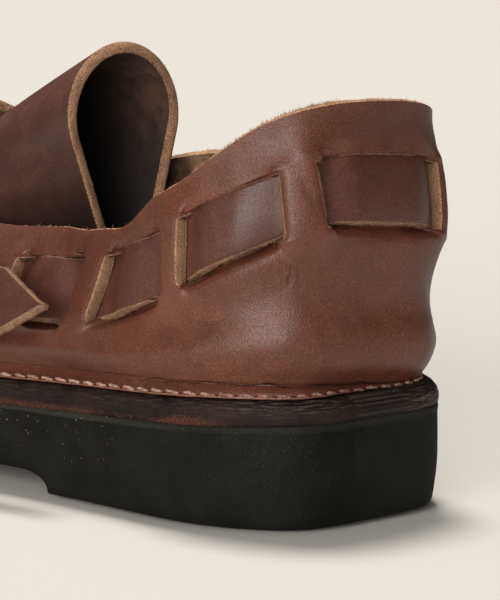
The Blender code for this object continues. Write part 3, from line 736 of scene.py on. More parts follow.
# marks on the upper: a middle and a spread for a bell, a start and a reach for a fade
upperMarks = dict(
    stretched=0.30, stretchBeside=4.0, stretchBelow=(-2.5, 3.5), rimWorn=0.2, rimWornFrom=0.95,
    wrinkleAlong=(25.0, 4.0), wrinkleUp=(0.44, 0.075),
    # painted shade: darker above the strap by the collar, at the heel and towards the front
    collarShade=0.24, collarShadeReach=0.08, collarShadeAlong=(2.0, 36.0),
    heelShade=0.20, heelShadeAlong=(-24.0, 14.0), frontShade=0.20, frontShadeFrom=45.0,
    trimBelow=1.25, trimReach=0.35, trimOut=2.0, trimAlong=(0.25, 4.0, 14.0),
    # painted shade on the slot walls: its value at their ends, on their outer side, and its gain inward
    wallShadeEnds=1.4, wallShadeOutside=0.45, wallShadeGain=0.5,
)
strap = dict(
    width=14.8, thick=2.4, play=0.35, tuck=0.4, weave=1.6, recess=2.4, hiddenEnd=9.0, runOut=9.0,
    bulgeFade=(9.0, 8.0), recessFade=(2.2, 0.7), soften=2.0, softenAway=7.5, softenReach=3.5,
    sinkEarly=0.3, lipReach=0.3,
    overlap=0.7, topTuck=0.25, topTuckReach=2.5, climb=7.0, early=2.0, dip=2.9, dipSpread=5.0,
    dipFade=(1.6, 4.0), cornerRound=1.5, cornerFade=1.5, cornerBeside=1.6, leanReach=9.0, leanEnds=0.6,
    shortSlots=(6, 7), hug=0.9, hugAt=((14.0, 6.0), (-17.0, 5.0)),
    bulge=0.3, bevel=(0.85, 0.1), crown=0.25, rough=[(7.0, 31, 0.10)],
    # one slot a row: heel side, toe side, 1 where the strap comes out and -1 where it goes in,
    # lean, slant of its raw wall, rounding of its lip
    slots=[(-116.8, -113.0, 1, 0.0, 0.8, 0.35), (-93.0, -89.2, -1, 0.0, 0.8, 0.35),
           (-85.8, -82.0, 1, 0.0, 0.8, 0.35), (-63.0, -59.2, -1, 0.0, 0.8, 0.35),
           (-55.8, -52.0, 1, 0.0, 0.8, 0.35), (-27.0, -23.2, -1, 0.0, 0.8, 0.35),
           (-19.8, -16.0, 1, 0.0, 1.5, 0.30), (12.9, 16.7, -1, -0.13, 1.7, 0.30),
           (24.7, 28.5, 1, -0.08, 0.9, 0.20), (46.5, 49.5, -1, 0.0, 1.0, 0.35),
           (55.7, 58.5, 1, 0.0, 0.0, 0.90), (73.5, 77.3, -1, 0.30, 1.0, 0.35),
           (85.5, 87.5, 1, 0.22, 0.0, 0.90), (105.0, 108.8, -1, 0.0, 0.9, 0.35)],
)
slots = strap["slots"]


# collar line round the shoe: plan point, height above the midsole, drop of the strap's middle
def collarAt(ring):
    table = np.array(upper["collar"])
    lateral = table[:, [0, 1, 2, 3, 5]] * (1, 1, -1, 1, 1)
    medial = table[-2:0:-1, [0, 1, 2, 4, 6]] * (-1, 1, 1, 1, 1) + (2, 0, 0, 0, 0)
    rows = np.concatenate([lateral, medial])
    ring = np.asarray(ring, float) % 2
    along, across, height, drop = np.moveaxis(loopThrough(ring, 2.0, rows[:, 0], rows[:, 1:]), -1, 0)
    across = across + upper["throatX"] * (1 - np.abs(1 - ring)) ** 4
    for middle, wave, spread in upper["scallops"]:
        height = height + wave * bell(arcOf(ring), middle, spread)
        drop = drop + wave * bell(arcOf(ring), middle, spread)
    return np.stack([across, along], axis=-1), height, drop


# straight distance from the feather line to the collar line
def wallLength(ring):
    plan, height, _ = collarAt(ring)
    return np.hypot(height - upper["creaseRise"],
                    np.linalg.norm(plan - edgeAt(ring, upper["featherIn"]), axis=-1))


# rise of the lower and the upper side of the strap's band
def bandAt(ring):
    drop = collarAt(ring)[2]
    length = wallLength(ring)
    return 1 - (drop + strap["width"] / 2) / length, 1 - (drop - strap["width"] / 2) / length


# 1 where the strap is outside, 0 inside: eased across each slot, and so much further before and after;
# early is how long before the end of a slot it goes in by the strap is right in
def outsideAt(arc, before=0.0, after=0.0, early=0.0):
    total = 0.0
    for near, far, way in (row[:3] for row in slots):
        low = near - (before if way > 0 else after)
        high = far + (after if way > 0 else before - early)
        total = total + way * ease((arc - low) / (high - low))
    return total


# 1 along the strap's whole run, eased to 0 past both hidden ends
def carriesStrap(arc):
    first = slots[0][0] - strap["hiddenEnd"] - strap["runOut"]
    last = slots[-1][1] + strap["hiddenEnd"] + strap["runOut"]
    return ease((arc - first) / strap["runOut"]) * ease((last - arc) / strap["runOut"])


# 1 at the heel's back, where the fold is narrow and low
def narrowAt(ring):
    return bell(arcOf(ring), upper["shrinkMiddle"], upper["shrinkSpread"])


# 1 where the fold is rolled, at the heel
def rolledAt(ring):
    return bell(arcOf(ring), upper["rollMiddle"], upper["rollSpread"])


# an inset of the fold, drawn towards its crease where it is narrow
def foldInset(ring, inset):
    wide = 1 - upper["shrink"] * narrowAt(ring)
    return upper["foldIn"] - (upper["foldIn"] - inset) * wide + heelSet(ring)


# a height on the fold, less where it is low
def foldLift(ring, lift):
    return lift * (1 - upper["lowFold"] * narrowAt(ring))


# outer face: from the feather line in to the collar line, straight walls at the heel and a round vamp,
# pushed out by the heel cup, the swell and what is given
def upperFace(ring, rise, more=0.0):
    ring = np.broadcast_to(np.asarray(ring, float), np.shape(rise))
    plan, height, _ = collarAt(ring)
    setIn = heelSet(ring)
    base = edgeAt(ring, upper["featherIn"] + setIn)
    around = 1 - np.abs(1 - ring % 2)
    vamp = ease((around - upper["vampFrom"]) / upper["vampBlend"])
    turn = rise * np.pi / 2
    across = (1 - vamp) * rise ** 2 + vamp * (1 - np.cos(turn))
    arch = (1 - upper["instepSlope"]) * np.sin(turn) + upper["instepSlope"] * (1 - np.cos(turn))
    climb = (1 - vamp) * rise + vamp * arch
    push = upper["heelCup"] * bell(rise, upper["cupAt"], upper["cupSpread"]) * (1 - vamp)
    fadeFrom, fadeTo = upper["swellFade"]
    fade = ease((around - fadeFrom) / (fadeTo - fadeFrom))
    push = push + upper["swell"] * bell(rise, upper["swellAt"], upper["swellSpread"]) * (1 - fade)
    push = push + setIn * (1 - across) * (1 - bell(rise, 0.0, upper["heelSetFade"])) + more
    flat = base + (plan - base) * across[..., None] + edgeOut(ring) * push[..., None]
    ground = groundAt(ring)
    crease = foldLift(ring, upper["creaseRise"])
    lift = crease + (height - crease) * climb
    lift = lift + upper["toePuff"] * vamp * np.sin(np.pi * rise)
    return raised(flat, ground + lift)


# what the strap does to the upper: out where the strap is inside, in under it, deeper past the end of a
# slot that it comes out of or goes in by, and a rounded lip round every slot
def weavePush(arc, rise, ring):
    low, high = bandAt(ring)
    length = wallLength(ring)
    below = np.clip(low - rise, 0, None) * length
    above = np.clip(rise - high, 0, None) * length
    over = np.clip((rise - high) * length + strap["overlap"], 0, None)
    bulge = 1 - ease(below / strap["bulgeFade"][0]) - ease(above / strap["bulgeFade"][1])
    hug = strap["hug"] * sum(bell(arc, middle, spread) for middle, spread in strap["hugAt"])
    under = (low - rise) * length + hug
    recess = 1 - ease(under / strap["recessFade"][0]) - ease(over / strap["recessFade"][1])
    soften = strap["soften"] + strap["softenAway"] * ease((below + above) / strap["softenReach"])
    outside = outsideAt(arc, soften, soften, strap["soften"] + strap["sinkEarly"])
    push = (strap["weave"] * (1 - outside) * bulge - strap["recess"] * outside * recess) * carriesStrap(arc)
    window = ease(1 - under / strap["dipFade"][0]) * ease((high - rise) * length / strap["dipFade"][1])
    for near, far, way, _, _, rounding in slots:
        beyond = (arc - (far if way > 0 else near)) * way
        dip = strap["dip"] * bell(np.clip(beyond, 0, None), 0.0, strap["dipSpread"])
        push = push - dip * window * ease(1 + beyond / (far - near))
        beside = np.maximum(np.maximum(near - arc, arc - far), 0)
        reach = strap["lipReach"] + rounding
        push = push - rounding * np.exp(-(beside ** 2 + below ** 2 + above ** 2) / reach ** 2)
    return push


# soft troughs along straight lines, fading at both ends
def creasePush(arc, rise, ring):
    length = wallLength(ring)
    push = 0.0
    for arcFrom, riseFrom, arcTo, riseTo, depth, half in upper["creases"]:
        run = np.stack([arcTo - arcFrom + 0 * length, (riseTo - riseFrom) * length], axis=-1)
        gone = np.stack([arc - arcFrom, (rise - riseFrom) * length], axis=-1)
        share = np.clip(np.sum(run * gone, axis=-1) / np.sum(run * run, axis=-1), 0, 1)
        far = np.sum((gone - run * share[..., None]) ** 2, axis=-1)
        push = push - depth * np.exp(-far / half ** 2) * (1 - upper["creaseEnds"] * (2 * share - 1) ** 2)
    return push


# lengths along the edge: both lips of every slot, close steps beside them, wider ones at the front;
# gives them with the first and last column of every slot
def upperColumns():
    beside = np.array([0.0, 0.25, 0.6, 1.1])
    arcs = [np.linspace(slots[0][0] - strap["hiddenEnd"], slots[0][0] - 1.5, 9), slots[0][0] - beside[:0:-1]]
    for k, (near, far) in enumerate(row[:2] for row in slots):
        arcs.append(np.linspace(near, far, 6)[:-1])
        arcs.append(far + beside)
        if k + 1 < len(slots):
            after = slots[k + 1][0]
            arcs.append(np.linspace(far + 1.6, after - 1.6, int(after - far) + 1))
            arcs.append(after - beside[:0:-1])
    arcs.append(np.linspace(slots[-1][1] + 1.6, slots[-1][1] + strap["hiddenEnd"], 9))
    arcs = np.concatenate(arcs)
    front = np.linspace(arcs[-1], arcs[0] + edge["total"], 190)[1:-1]
    holes = [[int(np.argmin(np.abs(arcs - lip))) for lip in row[:2]] for row in slots]
    return np.concatenate([arcs, front]), holes


# moves the columns beside a slot sideways: slots lean, and their corners are rounded
def leanColumns(arc, rise, ring):
    low, high = bandAt(ring)
    length = wallLength(ring)
    fromMiddle = (rise - (low + high) / 2) * length
    inside = strap["width"] / 2 - np.abs(fromMiddle)
    radius = strap["cornerRound"]
    reach = strap["leanReach"]
    corner = radius - np.sqrt(np.clip(radius ** 2 - np.clip(radius - inside, 0, radius) ** 2, 0, None))
    corner = np.where(inside < 0, radius * np.exp(np.minimum(inside, 0) / strap["cornerFade"]), corner)
    fade = ease(rise / (strap["leanEnds"] * low)) * ease((1 - rise) / (strap["leanEnds"] * (1 - high)))
    moved = arc
    for near, far, _, lean in (row[:4] for row in slots):
        half = (far - near) / 2
        away = arc - (near + far) / 2
        fall = bell(np.clip(np.abs(away) - half, 0, None), 0.0, strap["cornerBeside"])
        moved = moved - corner * np.clip(away / half, -1, 1) * fall
        moved = moved - lean * np.clip(fromMiddle, -reach, reach) * fade * bell(away, 0.0, reach)
    return moved


# rises of the rows at every column, below the strap's band, across it and on to the rim; gives them with
# the band's first and last row
def upperRises(low, high):
    below = np.concatenate([0.93 * np.linspace(0, 1, 20) ** 1.25, [0.955, 0.975, 0.99]])
    band = (1 - np.cos(np.linspace(0, np.pi, 15))) / 2
    toRim = np.array([0.03, 0.08, 0.15, 0.24, 0.35, 0.47, 0.60, 0.72, 0.82, 0.90, 0.955, 0.985, 1.0])
    rise = np.concatenate([low * below, low + (high - low) * band, high + (1 - high) * toRim], axis=1)
    return rise, len(below), len(below) + len(band) - 1


# the turned-out fold from its raw edge in to the crease, between its rolled and its plain profile
def foldSection(rings, ground, profile):
    ring = np.broadcast_to(rings[:, None], (len(rings), len(profile)))
    rolled = rolledAt(ring)
    wave = unevenness(raised(edgeAt(rings), ground), upper["foldRough"])[:, None]
    inset = profile[:, 0] * rolled + profile[:, 2] * (1 - rolled) - wave * (profile[:, 3] < 1.0)
    lift = profile[:, 1] * rolled + profile[:, 3] * (1 - rolled)
    return raised(edgeAt(ring, foldInset(ring, inset)), ground[:, None] + foldLift(ring, lift))


# the collar's raw edge between the two faces, bulged and ragged; gives it with its way up
def rimSection(outer, inner):
    alongUp = unit(outer[:, -1] - outer[:, -3])
    share = np.linspace(0, 1, 9)[1:-1]
    rim = between(outer[:, -1], inner[:, -1], share)
    ragged = upper["rimBulge"] * np.sin(np.pi * share) ** 0.5 + unevenness(rim, upper["rimRough"])
    return rim + alongUp[:, None] * ragged[..., None], alongUp


# marks on the outer face: worn beside the slots and at the rim, wrinkled below the second span, and painted
# shade above the strap, at the heel and towards the front
def faceMarks(column, rise, low, high, length):
    marks = upperMarks
    stretched = 0.0
    for near, far, way in (row[:3] for row in slots):
        beside = bell(column, near if way > 0 else far, marks["stretchBeside"])
        stretched = np.maximum(stretched, beside * bell((rise - low) * length, *marks["stretchBelow"]))
    rim = ease((rise - marks["rimWornFrom"]) / (1 - marks["rimWornFrom"]))
    above = ease((rise - high) / marks["collarShadeReach"]) * bell(column, *marks["collarShadeAlong"])
    ahead = ease((column - marks["frontShadeFrom"]) / marks["frontShadeFrom"])
    return dict(worn=marks["stretched"] * stretched + marks["rimWorn"] * rim,
                wrinkled=bell(column, *marks["wrinkleAlong"]) * bell(rise, *marks["wrinkleUp"]),
                shade=(marks["collarShade"] * above + marks["frontShade"] * ahead
                       + marks["heelShade"] * bell(column, *marks["heelShadeAlong"])))


# raw trim of the fold: on the low outer rows of its profile, fading in along the side
def trimAt(profile, signed):
    low = ease((upperMarks["trimBelow"] - profile[:, 1]) / upperMarks["trimReach"])
    return low * (profile[:, 0] < upperMarks["trimOut"]) * fadeIn(signed[:, None], *upperMarks["trimAlong"])


# columns and rows of the points round a slot
def roundHole(start, end, slotStart, slotEnd):
    across = np.arange(start, end + 1)
    up = np.arange(slotStart, slotEnd + 1)
    column = np.concatenate([across[:-1], np.full(len(up) - 1, end), across[:0:-1],
                             np.full(len(up) - 1, start)])
    row = np.concatenate([np.full(len(across) - 1, slotStart), up[:-1],
                          np.full(len(across) - 1, slotEnd), up[:0:-1]])
    return column, row


# the upper: for every column a section of fold, outer face, rim, inner face and underside, with its slots
# left open and walled; gives points and ways of its raw edges, and the columns' lengths along the edge
def buildUpper():
    arcs, holes = upperColumns()
    signed = np.where(arcs > edge["lateralArc"], arcs - edge["total"], arcs)
    rings = ringOf(arcs)
    low, high = (side[:, None] for side in bandAt(rings))
    length = wallLength(rings)[:, None]
    rise, bandStart, bandEnd = upperRises(low, high)
    # slots are a little shorter than the strap is wide
    slotStarts = [bandStart + (2 if k in strap["shortSlots"] else 1) for k in range(len(slots))]
    slotEnd = bandEnd - 2
    shape = rise.shape
    column = np.broadcast_to(signed[:, None], shape)
    turned = ringOf(leanColumns(column, rise, np.broadcast_to(rings[:, None], shape)))
    push = weavePush(column, rise, turned) + creasePush(column, rise, turned)
    outer = upperFace(turned, rise, push)
    plain = upperFace(turned, rise)
    normal = gridNormals(plain, closed=True)
    rough = unevenness(outer, upper["rough"]) * ease(rise / upper["roughFrom"])
    outer = outer + normal * rough[..., None]
    inner = outer - normal * upper["thick"]
    # slanted slot walls: the inner lip is moved along the edge
    alongEdge = unit(np.gradient(plain, axis=0))
    for (start, end), slotStart, (_, _, way, _, slant, _) in zip(holes, slotStarts, slots):
        bandRows = slice(slotStart, slotEnd + 1)
        across = np.clip(np.sin(np.linspace(0, np.pi, slotEnd + 1 - slotStart)), 0, 1) ** 0.3
        lip = start if way > 0 else end
        inner[lip, bandRows] += alongEdge[lip, bandRows] * (way * slant * across)[:, None]
    ground = groundAt(rings)
    rows = np.array(upper["fold"])
    profile = curveThrough(np.linspace(0, len(rows) - 1, 26), np.arange(len(rows)), rows)
    fold = foldSection(rings, ground, profile)
    rim, alongUp = rimSection(outer, inner)
    sheltered = raised(edgeAt(rings, foldInset(rings, upper["featherIn"] + upper["thick"])),
                       ground + upper["underside"])
    section = np.concatenate([fold, outer, rim, inner[:, ::-1], sheltered[:, None]], axis=1)
    columns, size = section.shape[:2]
    numbers = closed(closed(numbered((columns, size))), 1)
    outerAt = fold.shape[1]
    rimAt = outerAt + shape[1]
    innerAt = rimAt + rim.shape[1]
    last = innerAt + shape[1] - 1
    keep = np.ones((columns, size), bool)
    for (start, end), slotStart in zip(holes, slotStarts):
        keep[start:end, outerAt + slotStart:outerAt + slotEnd] = False
        keep[start:end, last - slotEnd:last - slotStart] = False
    # uv in mm over 100: length along the edge and height up the leather, far up past the outer face
    upFold = lengthsAlong(profile[:, :2])
    up = np.full((columns + 1, size + 1), 200.0)
    up[:, :outerAt] = upFold
    up[:-1, outerAt:rimAt] = upFold[-1] + 0.35 + rise * length
    up[-1] = up[0]
    along = np.repeat(np.append(arcs, arcs[0] + edge["total"])[:, None], size + 1, axis=1)
    corners = [gridQuads(np.stack([along, up], axis=-1) / 100)[keep.ravel()]]
    names = ("cut", "flesh", "trim", "worn", "wrinkled", "rolled", "wallShade", "shade")
    marks = {key: np.zeros((columns, size)) for key in names}
    marks["cut"][:, rimAt:innerAt] = 1.0
    marks["cut"][:, [rimAt - 1, innerAt]] = 0.5
    marks["flesh"][:, innerAt:] = 1.0
    marks["trim"][:, :outerAt] = trimAt(profile, signed)
    marks["rolled"][:] = rolledAt(rings)[:, None]
    for key, values in faceMarks(column, rise, low, high, length).items():
        marks[key][:, outerAt:rimAt] = values
    # the slots' walls
    body = section.reshape(-1, 3)
    points = [body]
    faces = [gridQuads(numbers)[keep.ravel()]]
    roots = [rim.reshape(-1, 3)]
    ways = [np.repeat(alongUp, rim.shape[1], axis=0)]
    wallShade = []
    count = columns * size
    share = np.linspace(0, 1, 7)[1:-1]
    for (start, end), slotStart in zip(holes, slotStarts):
        column, row = roundHole(start, end, slotStart, slotEnd)
        outLip = numbers[column, outerAt + row]
        inLip = numbers[column, last - row]
        toward = unit(body[outLip].mean(axis=0) - body[outLip])
        wall = between(body[outLip], body[inLip], share)
        ragged = upper["wallBulge"] * np.sin(np.pi * share) + unevenness(wall, upper["wallRough"])
        wall = wall + toward[:, None] * ragged[..., None]
        strip = [outLip[:, None], numbered(wall.shape[:2], count), inLip[:, None]]
        faces.append(gridQuads(closed(np.concatenate(strip, axis=1))))
        corners.append(np.full((len(faces[-1]), 4, 2), 2.0))
        points.append(wall.reshape(-1, 3))
        roots.append(points[-1])
        ways.append(np.repeat(toward + normal[column, row] * 0.6, len(share), axis=0))
        marks["cut"].ravel()[outLip] = 0.5
        marks["cut"].ravel()[inLip] = 0.8
        # painted shade on the walls: full at the slot's ends, and growing from the outer face inward along
        # the sides
        atEnd = ((column > start) & (column < end))[:, None]
        inward = upperMarks["wallShadeOutside"] + upperMarks["wallShadeGain"] * share
        wallShade.append(np.where(atEnd, upperMarks["wallShadeEnds"], inward).ravel())
        count += wall.size // 3
    wallShade = np.concatenate(wallShade)
    onWalls = dict(cut=np.ones(len(wallShade)), wallShade=wallShade)
    points = np.concatenate(points)
    faces = np.concatenate(faces)
    used = np.unique(faces)
    newNumber = np.full(len(points), -1)
    newNumber[used] = np.arange(len(used))
    layers = {key: np.append(marks[key], onWalls.get(key, 0 * wallShade))[used] for key in names}
    addPiece("slotted_upper", points[used], newNumber[faces], upperLeather, "upper",
             layers, uv=np.concatenate(corners))
    return roots, ways, signed


rawRoots, rawWays, rimArc = buildUpper()


# the strap: on the upper's plain face, lifted over it outside and tucked behind it inside
def buildHeelStrap():
    first = slots[0][0] - strap["hiddenEnd"]
    last = slots[-1][1] + strap["hiddenEnd"]
    arcs = np.linspace(first, last, 460)
    rings = ringOf(arcs)
    drop = collarAt(rings)[2]
    length = wallLength(rings)
    half = strap["width"] / 2 - strap["bulge"]
    across = np.linspace(-half, half, 17)
    rise = (1 - drop / length)[:, None] + across[None] / length[:, None]
    plain = upperFace(rings[:, None], rise)
    outside = outsideAt(arcs, after=strap["climb"], early=strap["early"])[:, None]
    stand = strap["thick"] / 2 + strap["play"]
    hidden = strap["weave"] - upper["thick"] - stand - strap["tuck"]
    lift = outside * (stand - strap["recess"]) + (1 - outside) * hidden
    crown = strap["crown"] * (1 - (across / half) ** 2)[None] + unevenness(plain, strap["rough"])
    crown = crown - strap["topTuck"] * ease((across - half) / strap["topTuckReach"] + 1)[None] * outside
    grid = plain + gridNormals(plain) * (lift + crown)[..., None]
    points, quads, layers, edges = cutSheet(grid, strap["thick"], strap["bevel"], strap["bulge"], seed=32)
    addPiece("woven_strap", points, quads, strapLeather, "heel_strap", layers)
    return edges


strapEdges = buildHeelStrap()

instep = dict(
    tip=15.0, blunt=0.06, thick=2.4, edgeRoom=0.7, bevel=(0.0, 0.3),
    # x, from heel, rise above the midsole, direction of the width, width
    route=[(36.2, 132.0, 16.0, 0.12, 0.95, -0.05, 14.8), (33.0, 134.0, 29.0, 0.12, 0.95, -0.05, 14.8),
           (26.0, 138.0, 45.0, 0.05, 0.95, -0.10, 14.8), (13.0, 142.5, 54.0, 0.05, 0.95, -0.25, 14.8),
           (0.0, 144.0, 58.0, 0.00, 0.95, -0.25, 14.8), (-14.0, 142.0, 55.0, -0.20, 0.95, -0.20, 14.8),
           (-26.0, 137.0, 48.0, -0.29, 0.82, -0.40, 14.8), (-35.5, 126.0, 38.0, -0.27, 0.73, -0.59, 15.2),
           (-40.5, 112.0, 28.0, -0.20, 0.45, -0.85, 16.0), (-42.5, 97.0, 21.0, -0.15, 0.10, -0.95, 16.5),
           (-42.0, 81.0, 18.0, -0.35, 0.00, -0.92, 16.5), (-41.0, 60.0, 18.0, -0.40, 0.00, -0.90, 16.5)],
)


# the strap over the tongue: a flat band along its route, its width square to the way it runs, and a
# point where the width falls evenly
def buildInstepStrap():
    table = np.array(instep["route"])
    points = table[:, :3].copy()
    points[:, 2] += midsoleTop(points[:, 1])
    knots = lengthsAlong(points)
    at = np.linspace(0.0, knots[-1], 200)
    path = curveThrough(at, knots, points)
    along = unit(np.gradient(path, axis=0))
    way = curveThrough(at, knots, table[:, 3:6])
    way = unit(way - along * np.sum(along * way, axis=1)[:, None])
    taper = np.clip((knots[-1] - at) / instep["tip"], instep["blunt"], 1.0)
    reach = (np.interp(at, knots, table[:, 6]) - instep["edgeRoom"]) * taper
    across = np.linspace(-0.5, 0.5, 17)
    grid = path[:, None] + way[:, None] * (across[None] * reach[:, None])[..., None]
    points, quads, layers, edges = cutSheet(grid, instep["thick"], instep["bevel"], seed=33)
    addPiece("tongue_strap", points, quads, strapLeather, "instep_strap", layers)
    return edges


instepEdges = buildInstepStrap()

tongue = dict(
    thick=2.6, x=-1.0, edgeRoom=0.35, medialEase=6.0, easeOver=60.0,
    # painted shade on the outer face: weight, start and reach across the sheet; painted light inside, against
    # painted shade elsewhere inside: weight, middle and spread, reach
    sideShade=(0.42, 0.3, 0.5), limbShade=(0.4, 1.0, 0.5), lit=0.9, litAt=(0.45, 0.7), litReach=30.0,
    # from heel, ridge, radius, sweep in degrees, limb
    rows=[(80.0, 73.0, 16.3, 110.0, 36.0), (100.0, 64.5, 16.3, 107.0, 28.0), (120.0, 55.5, 15.8, 98.0, 18.0),
          (140.0, 46.5, 16.0, 86.0, 10.0), (166.0, 38.8, 19.0, 68.0, 4.0)],
)


# rolled sheet: an arc over the ridge with a straight limb down each side, section by section, with painted
# shade down its outer sides and inside
def buildTongue():
    table = np.array(tongue["rows"])
    stations = np.linspace(table[0, 0] + tongue["edgeRoom"], table[-1, 0] - tongue["edgeRoom"], 110)
    ridge, radius, sweep, limb = np.moveaxis(curveThrough(stations, table[:, 0], table[:, 1:]), -1, 0)
    share = np.concatenate([np.linspace(-2, -1, 30)[:-1], np.linspace(-1, 1, 70), np.linspace(1, 2, 30)[1:]])
    eased = tongue["medialEase"] * (share > 0) * ease(2 - stations / tongue["easeOver"])[:, None]
    turn = np.radians(sweep[:, None] - eased) * np.clip(share, -1, 1)
    beyond = np.clip(np.abs(share) - 1, 0, None) * limb[:, None]
    rolled = (radius - tongue["thick"] / 2)[:, None]
    x = rolled * np.sin(turn) + np.sign(share) * beyond * np.cos(turn)
    down = rolled * (1 - np.cos(turn)) + beyond * np.abs(np.sin(turn))
    height = (midsoleTop(stations) + ridge - tongue["thick"] / 2)[:, None] - down
    grid = np.stack([x + tongue["x"], np.broadcast_to(stations[:, None], x.shape), height], axis=-1)
    points, quads, layers, edges = cutSheet(grid, tongue["thick"], seed=34)
    # painted shade: the outer face darker down its sides and limbs; the inner face darkened all over except a
    # painted lit patch near the ridge at its heel end
    low = sum(weight * ease((np.abs(share) - start) / reach)
              for weight, start, reach in (tongue["sideShade"], tongue["limbShade"]))
    lit = bell(share, *tongue["litAt"]) * (1 - ease((stations - stations[0]) / tongue["litReach"]))[:, None]
    layers["shade"] = np.zeros(len(points))
    layers["shade"][:x.size] = np.broadcast_to(low, x.shape).ravel()
    layers["shade"][x.size:2 * x.size] = (1 - tongue["lit"] * lit).ravel()
    addPiece("rolled_tongue", points, quads, tongueLeather, "tongue", layers)
    return edges


tongueEdges = buildTongue()

threadLook = dict(dark=(0.17, 0.085, 0.062, 1), light=(0.42, 0.265, 0.21, 1), shadeAndSoil=(0.085, 0.036, 0.025, 1),
                  ply=0.22, plyTurn=5.0, sunk=0.30, soiled=0.75, soiledRange=(0.6, 1.1),
                  strayAlong=0.12, strayTilt=0.15, strayBow=0.05, lengths=(0.92, 1.06))


# waxed thread: blotched, darker where it is soiled, fine fibres
def threadFinish(look):
    material, shader, pen, place = newFinish("waxed thread", {"Specular IOR Level": 0.3, "Roughness": 0.7})
    tone = cloud(pen, place, 0.9, 4.0) * 0.7 + cloud(pen, place, 18.0, 2.0) * 0.3
    colour = tone.step(0.36, 0.62).mix(look["dark"], look["light"])
    mark(pen, "soiled").mix(colour, look["shadeAndSoil"]).feed(shader, "Base Color")
    relief(pen, cloud(pen, place, 0.18, 3.0), 0.15).feed(shader, "Normal")
    return material


# stitches: arched two-ply tubes in the groove of the fold, one joined mesh
def buildStitches():
    count = thread["count"]
    middle = (np.arange(count) + 0.5) * thread["pitch"] + draw.normal(0, threadLook["strayAlong"], count)
    u = np.linspace(-0.5, 0.5, 15)
    arc = middle[:, None] + u[None] * thread["length"] * draw.uniform(*threadLook["lengths"], (count, 1))
    ring = ringOf(arc)
    out = raised(edgeOut(ring), 0 * ring)
    height = groundAt(ring) + foldLift(ring, thread["rise"])
    height = height + (u[None] + draw.normal(0, threadLook["strayTilt"], (count, 1))) * thread["tilt"]
    centre = raised(edgeAt(ring, foldInset(ring, thread["inset"])), height)
    lean = unit(out * 0.8 + np.array([0, 0, 0.6]))
    bow = thread["arch"] * np.cos(np.pi * u) ** 0.7 - threadLook["sunk"]
    bow = bow + draw.normal(0, threadLook["strayBow"], (count, 1))
    centre = centre + lean * bow[..., None]
    side = np.cross(lean, unit(np.gradient(centre, axis=1)))
    turn = np.linspace(0, 2 * np.pi, 9)[:-1]
    twist = turn[None, None] - u[None, :, None] * threadLook["plyTurn"]
    ply = 1 + threadLook["ply"] * np.cos(2 * twist + middle[:, None, None])
    taper = np.sqrt(np.clip(1 - (2 * np.abs(u)) ** 6, 0.02, 1))
    radius = thread["radius"] * ply * taper[None, :, None]
    points = centre[:, :, None] + (lean[:, :, None] * np.cos(turn)[:, None]
                                   + side[:, :, None] * np.sin(turn)[:, None]) * radius[..., None]
    numbers = closed(numbered(points.shape[:3]), 2)
    quads = np.stack([numbers[:, :-1, :-1], numbers[:, :-1, 1:], numbers[:, 1:, 1:], numbers[:, 1:, :-1]],
                     axis=-1).reshape(-1, 4)
    caps = np.concatenate([numbers[:, 0, :-1], numbers[:, -1, :-1]])
    soiled = np.repeat(rolledAt(ring), len(turn), axis=1)
    soiled = soiled * draw.uniform(*threadLook["soiledRange"], (count, 1))
    addPiece("welt_stitches", points.reshape(-1, 3), quads.tolist() + caps.tolist(), threadFinish(threadLook),
             layers={"soiled": threadLook["soiled"] * soiled})


buildStitches()

# for each raw edge: number of hairs, their greatest length
hair = dict(
    radius=0.032, stray=0.5, bend=0.5, collar=(1500, 0.9), slot=(110, 0.9), strap=(2600, 0.9),
    instep=(900, 1.0), tongue=(1300, 0.8), dark=(0.10, 0.045, 0.025, 1), light=(0.50, 0.28, 0.17, 1),
    shaggyFrom=10.0, shaggyTo=46.0, shaggyElsewhere=0.10,
)
# a clump at one length along the edge and half as many fibres ahead of it
tornFibres = dict(
    clump=420, clumpAt=46.0, clumpSpread=7.0, ahead=(55.0, 120.0), rise=(0.1, 1.1), inset=0.15, length=1.3,
    dark=(0.06, 0.022, 0.014, 1), light=(0.19, 0.075, 0.045, 1),
)


# fine hairs: three-sided spikes bent once, their roots picked from given points, in one mesh
def buildHairs(name, groups, look):
    material, shader, pen, place = newFinish(name, {"Specular IOR Level": 0.2, "Roughness": 0.85})
    tone = cloud(pen, place, 0.8, 3.0).step(0.35, 0.65)
    tone.mix(look["dark"], look["light"]).feed(shader, "Base Color")
    roots = []
    ways = []
    reach = []
    for points, way, count, length in groups:
        picked = draw.integers(0, len(points), count)
        roots.append(points[picked])
        ways.append(way[picked])
        reach.append(length * draw.uniform(0.3, 1.0, count) ** 1.5)
    roots = np.concatenate(roots)
    reach = np.concatenate(reach)[:, None]
    count = len(roots)
    ways = unit(np.concatenate(ways) + hair["stray"] * draw.normal(size=(count, 3)))
    bend = hair["bend"] * draw.normal(size=(count, 3))
    side = unit(np.cross(ways, draw.normal(size=(count, 3))))
    turn = np.arange(3) * 2 * np.pi / 3
    ring = side[:, None] * np.cos(turn)[:, None] + np.cross(ways, side)[:, None] * np.sin(turn)[:, None]
    foot = (roots - ways * 0.1)[:, None] + ring * hair["radius"]
    middle = (roots + ways * reach * 0.5 + bend * reach * 0.12)[:, None] + ring * hair["radius"] * 0.75
    tip = (roots + ways * reach + bend * reach * 0.5)[:, None]
    points = np.concatenate([foot, middle, tip], axis=1)
    start = 7 * np.arange(count)[:, None, None]
    quads = start + np.array([(0, 1, 4, 3), (1, 2, 5, 4), (2, 0, 3, 5)])
    ends = start + np.array([(2, 1, 0), (3, 4, 6), (4, 5, 6), (5, 3, 6)])
    faces = quads.reshape(-1, 4).tolist() + ends.reshape(-1, 3).tolist()
    addPiece(name, points.reshape(-1, 3), faces, material)


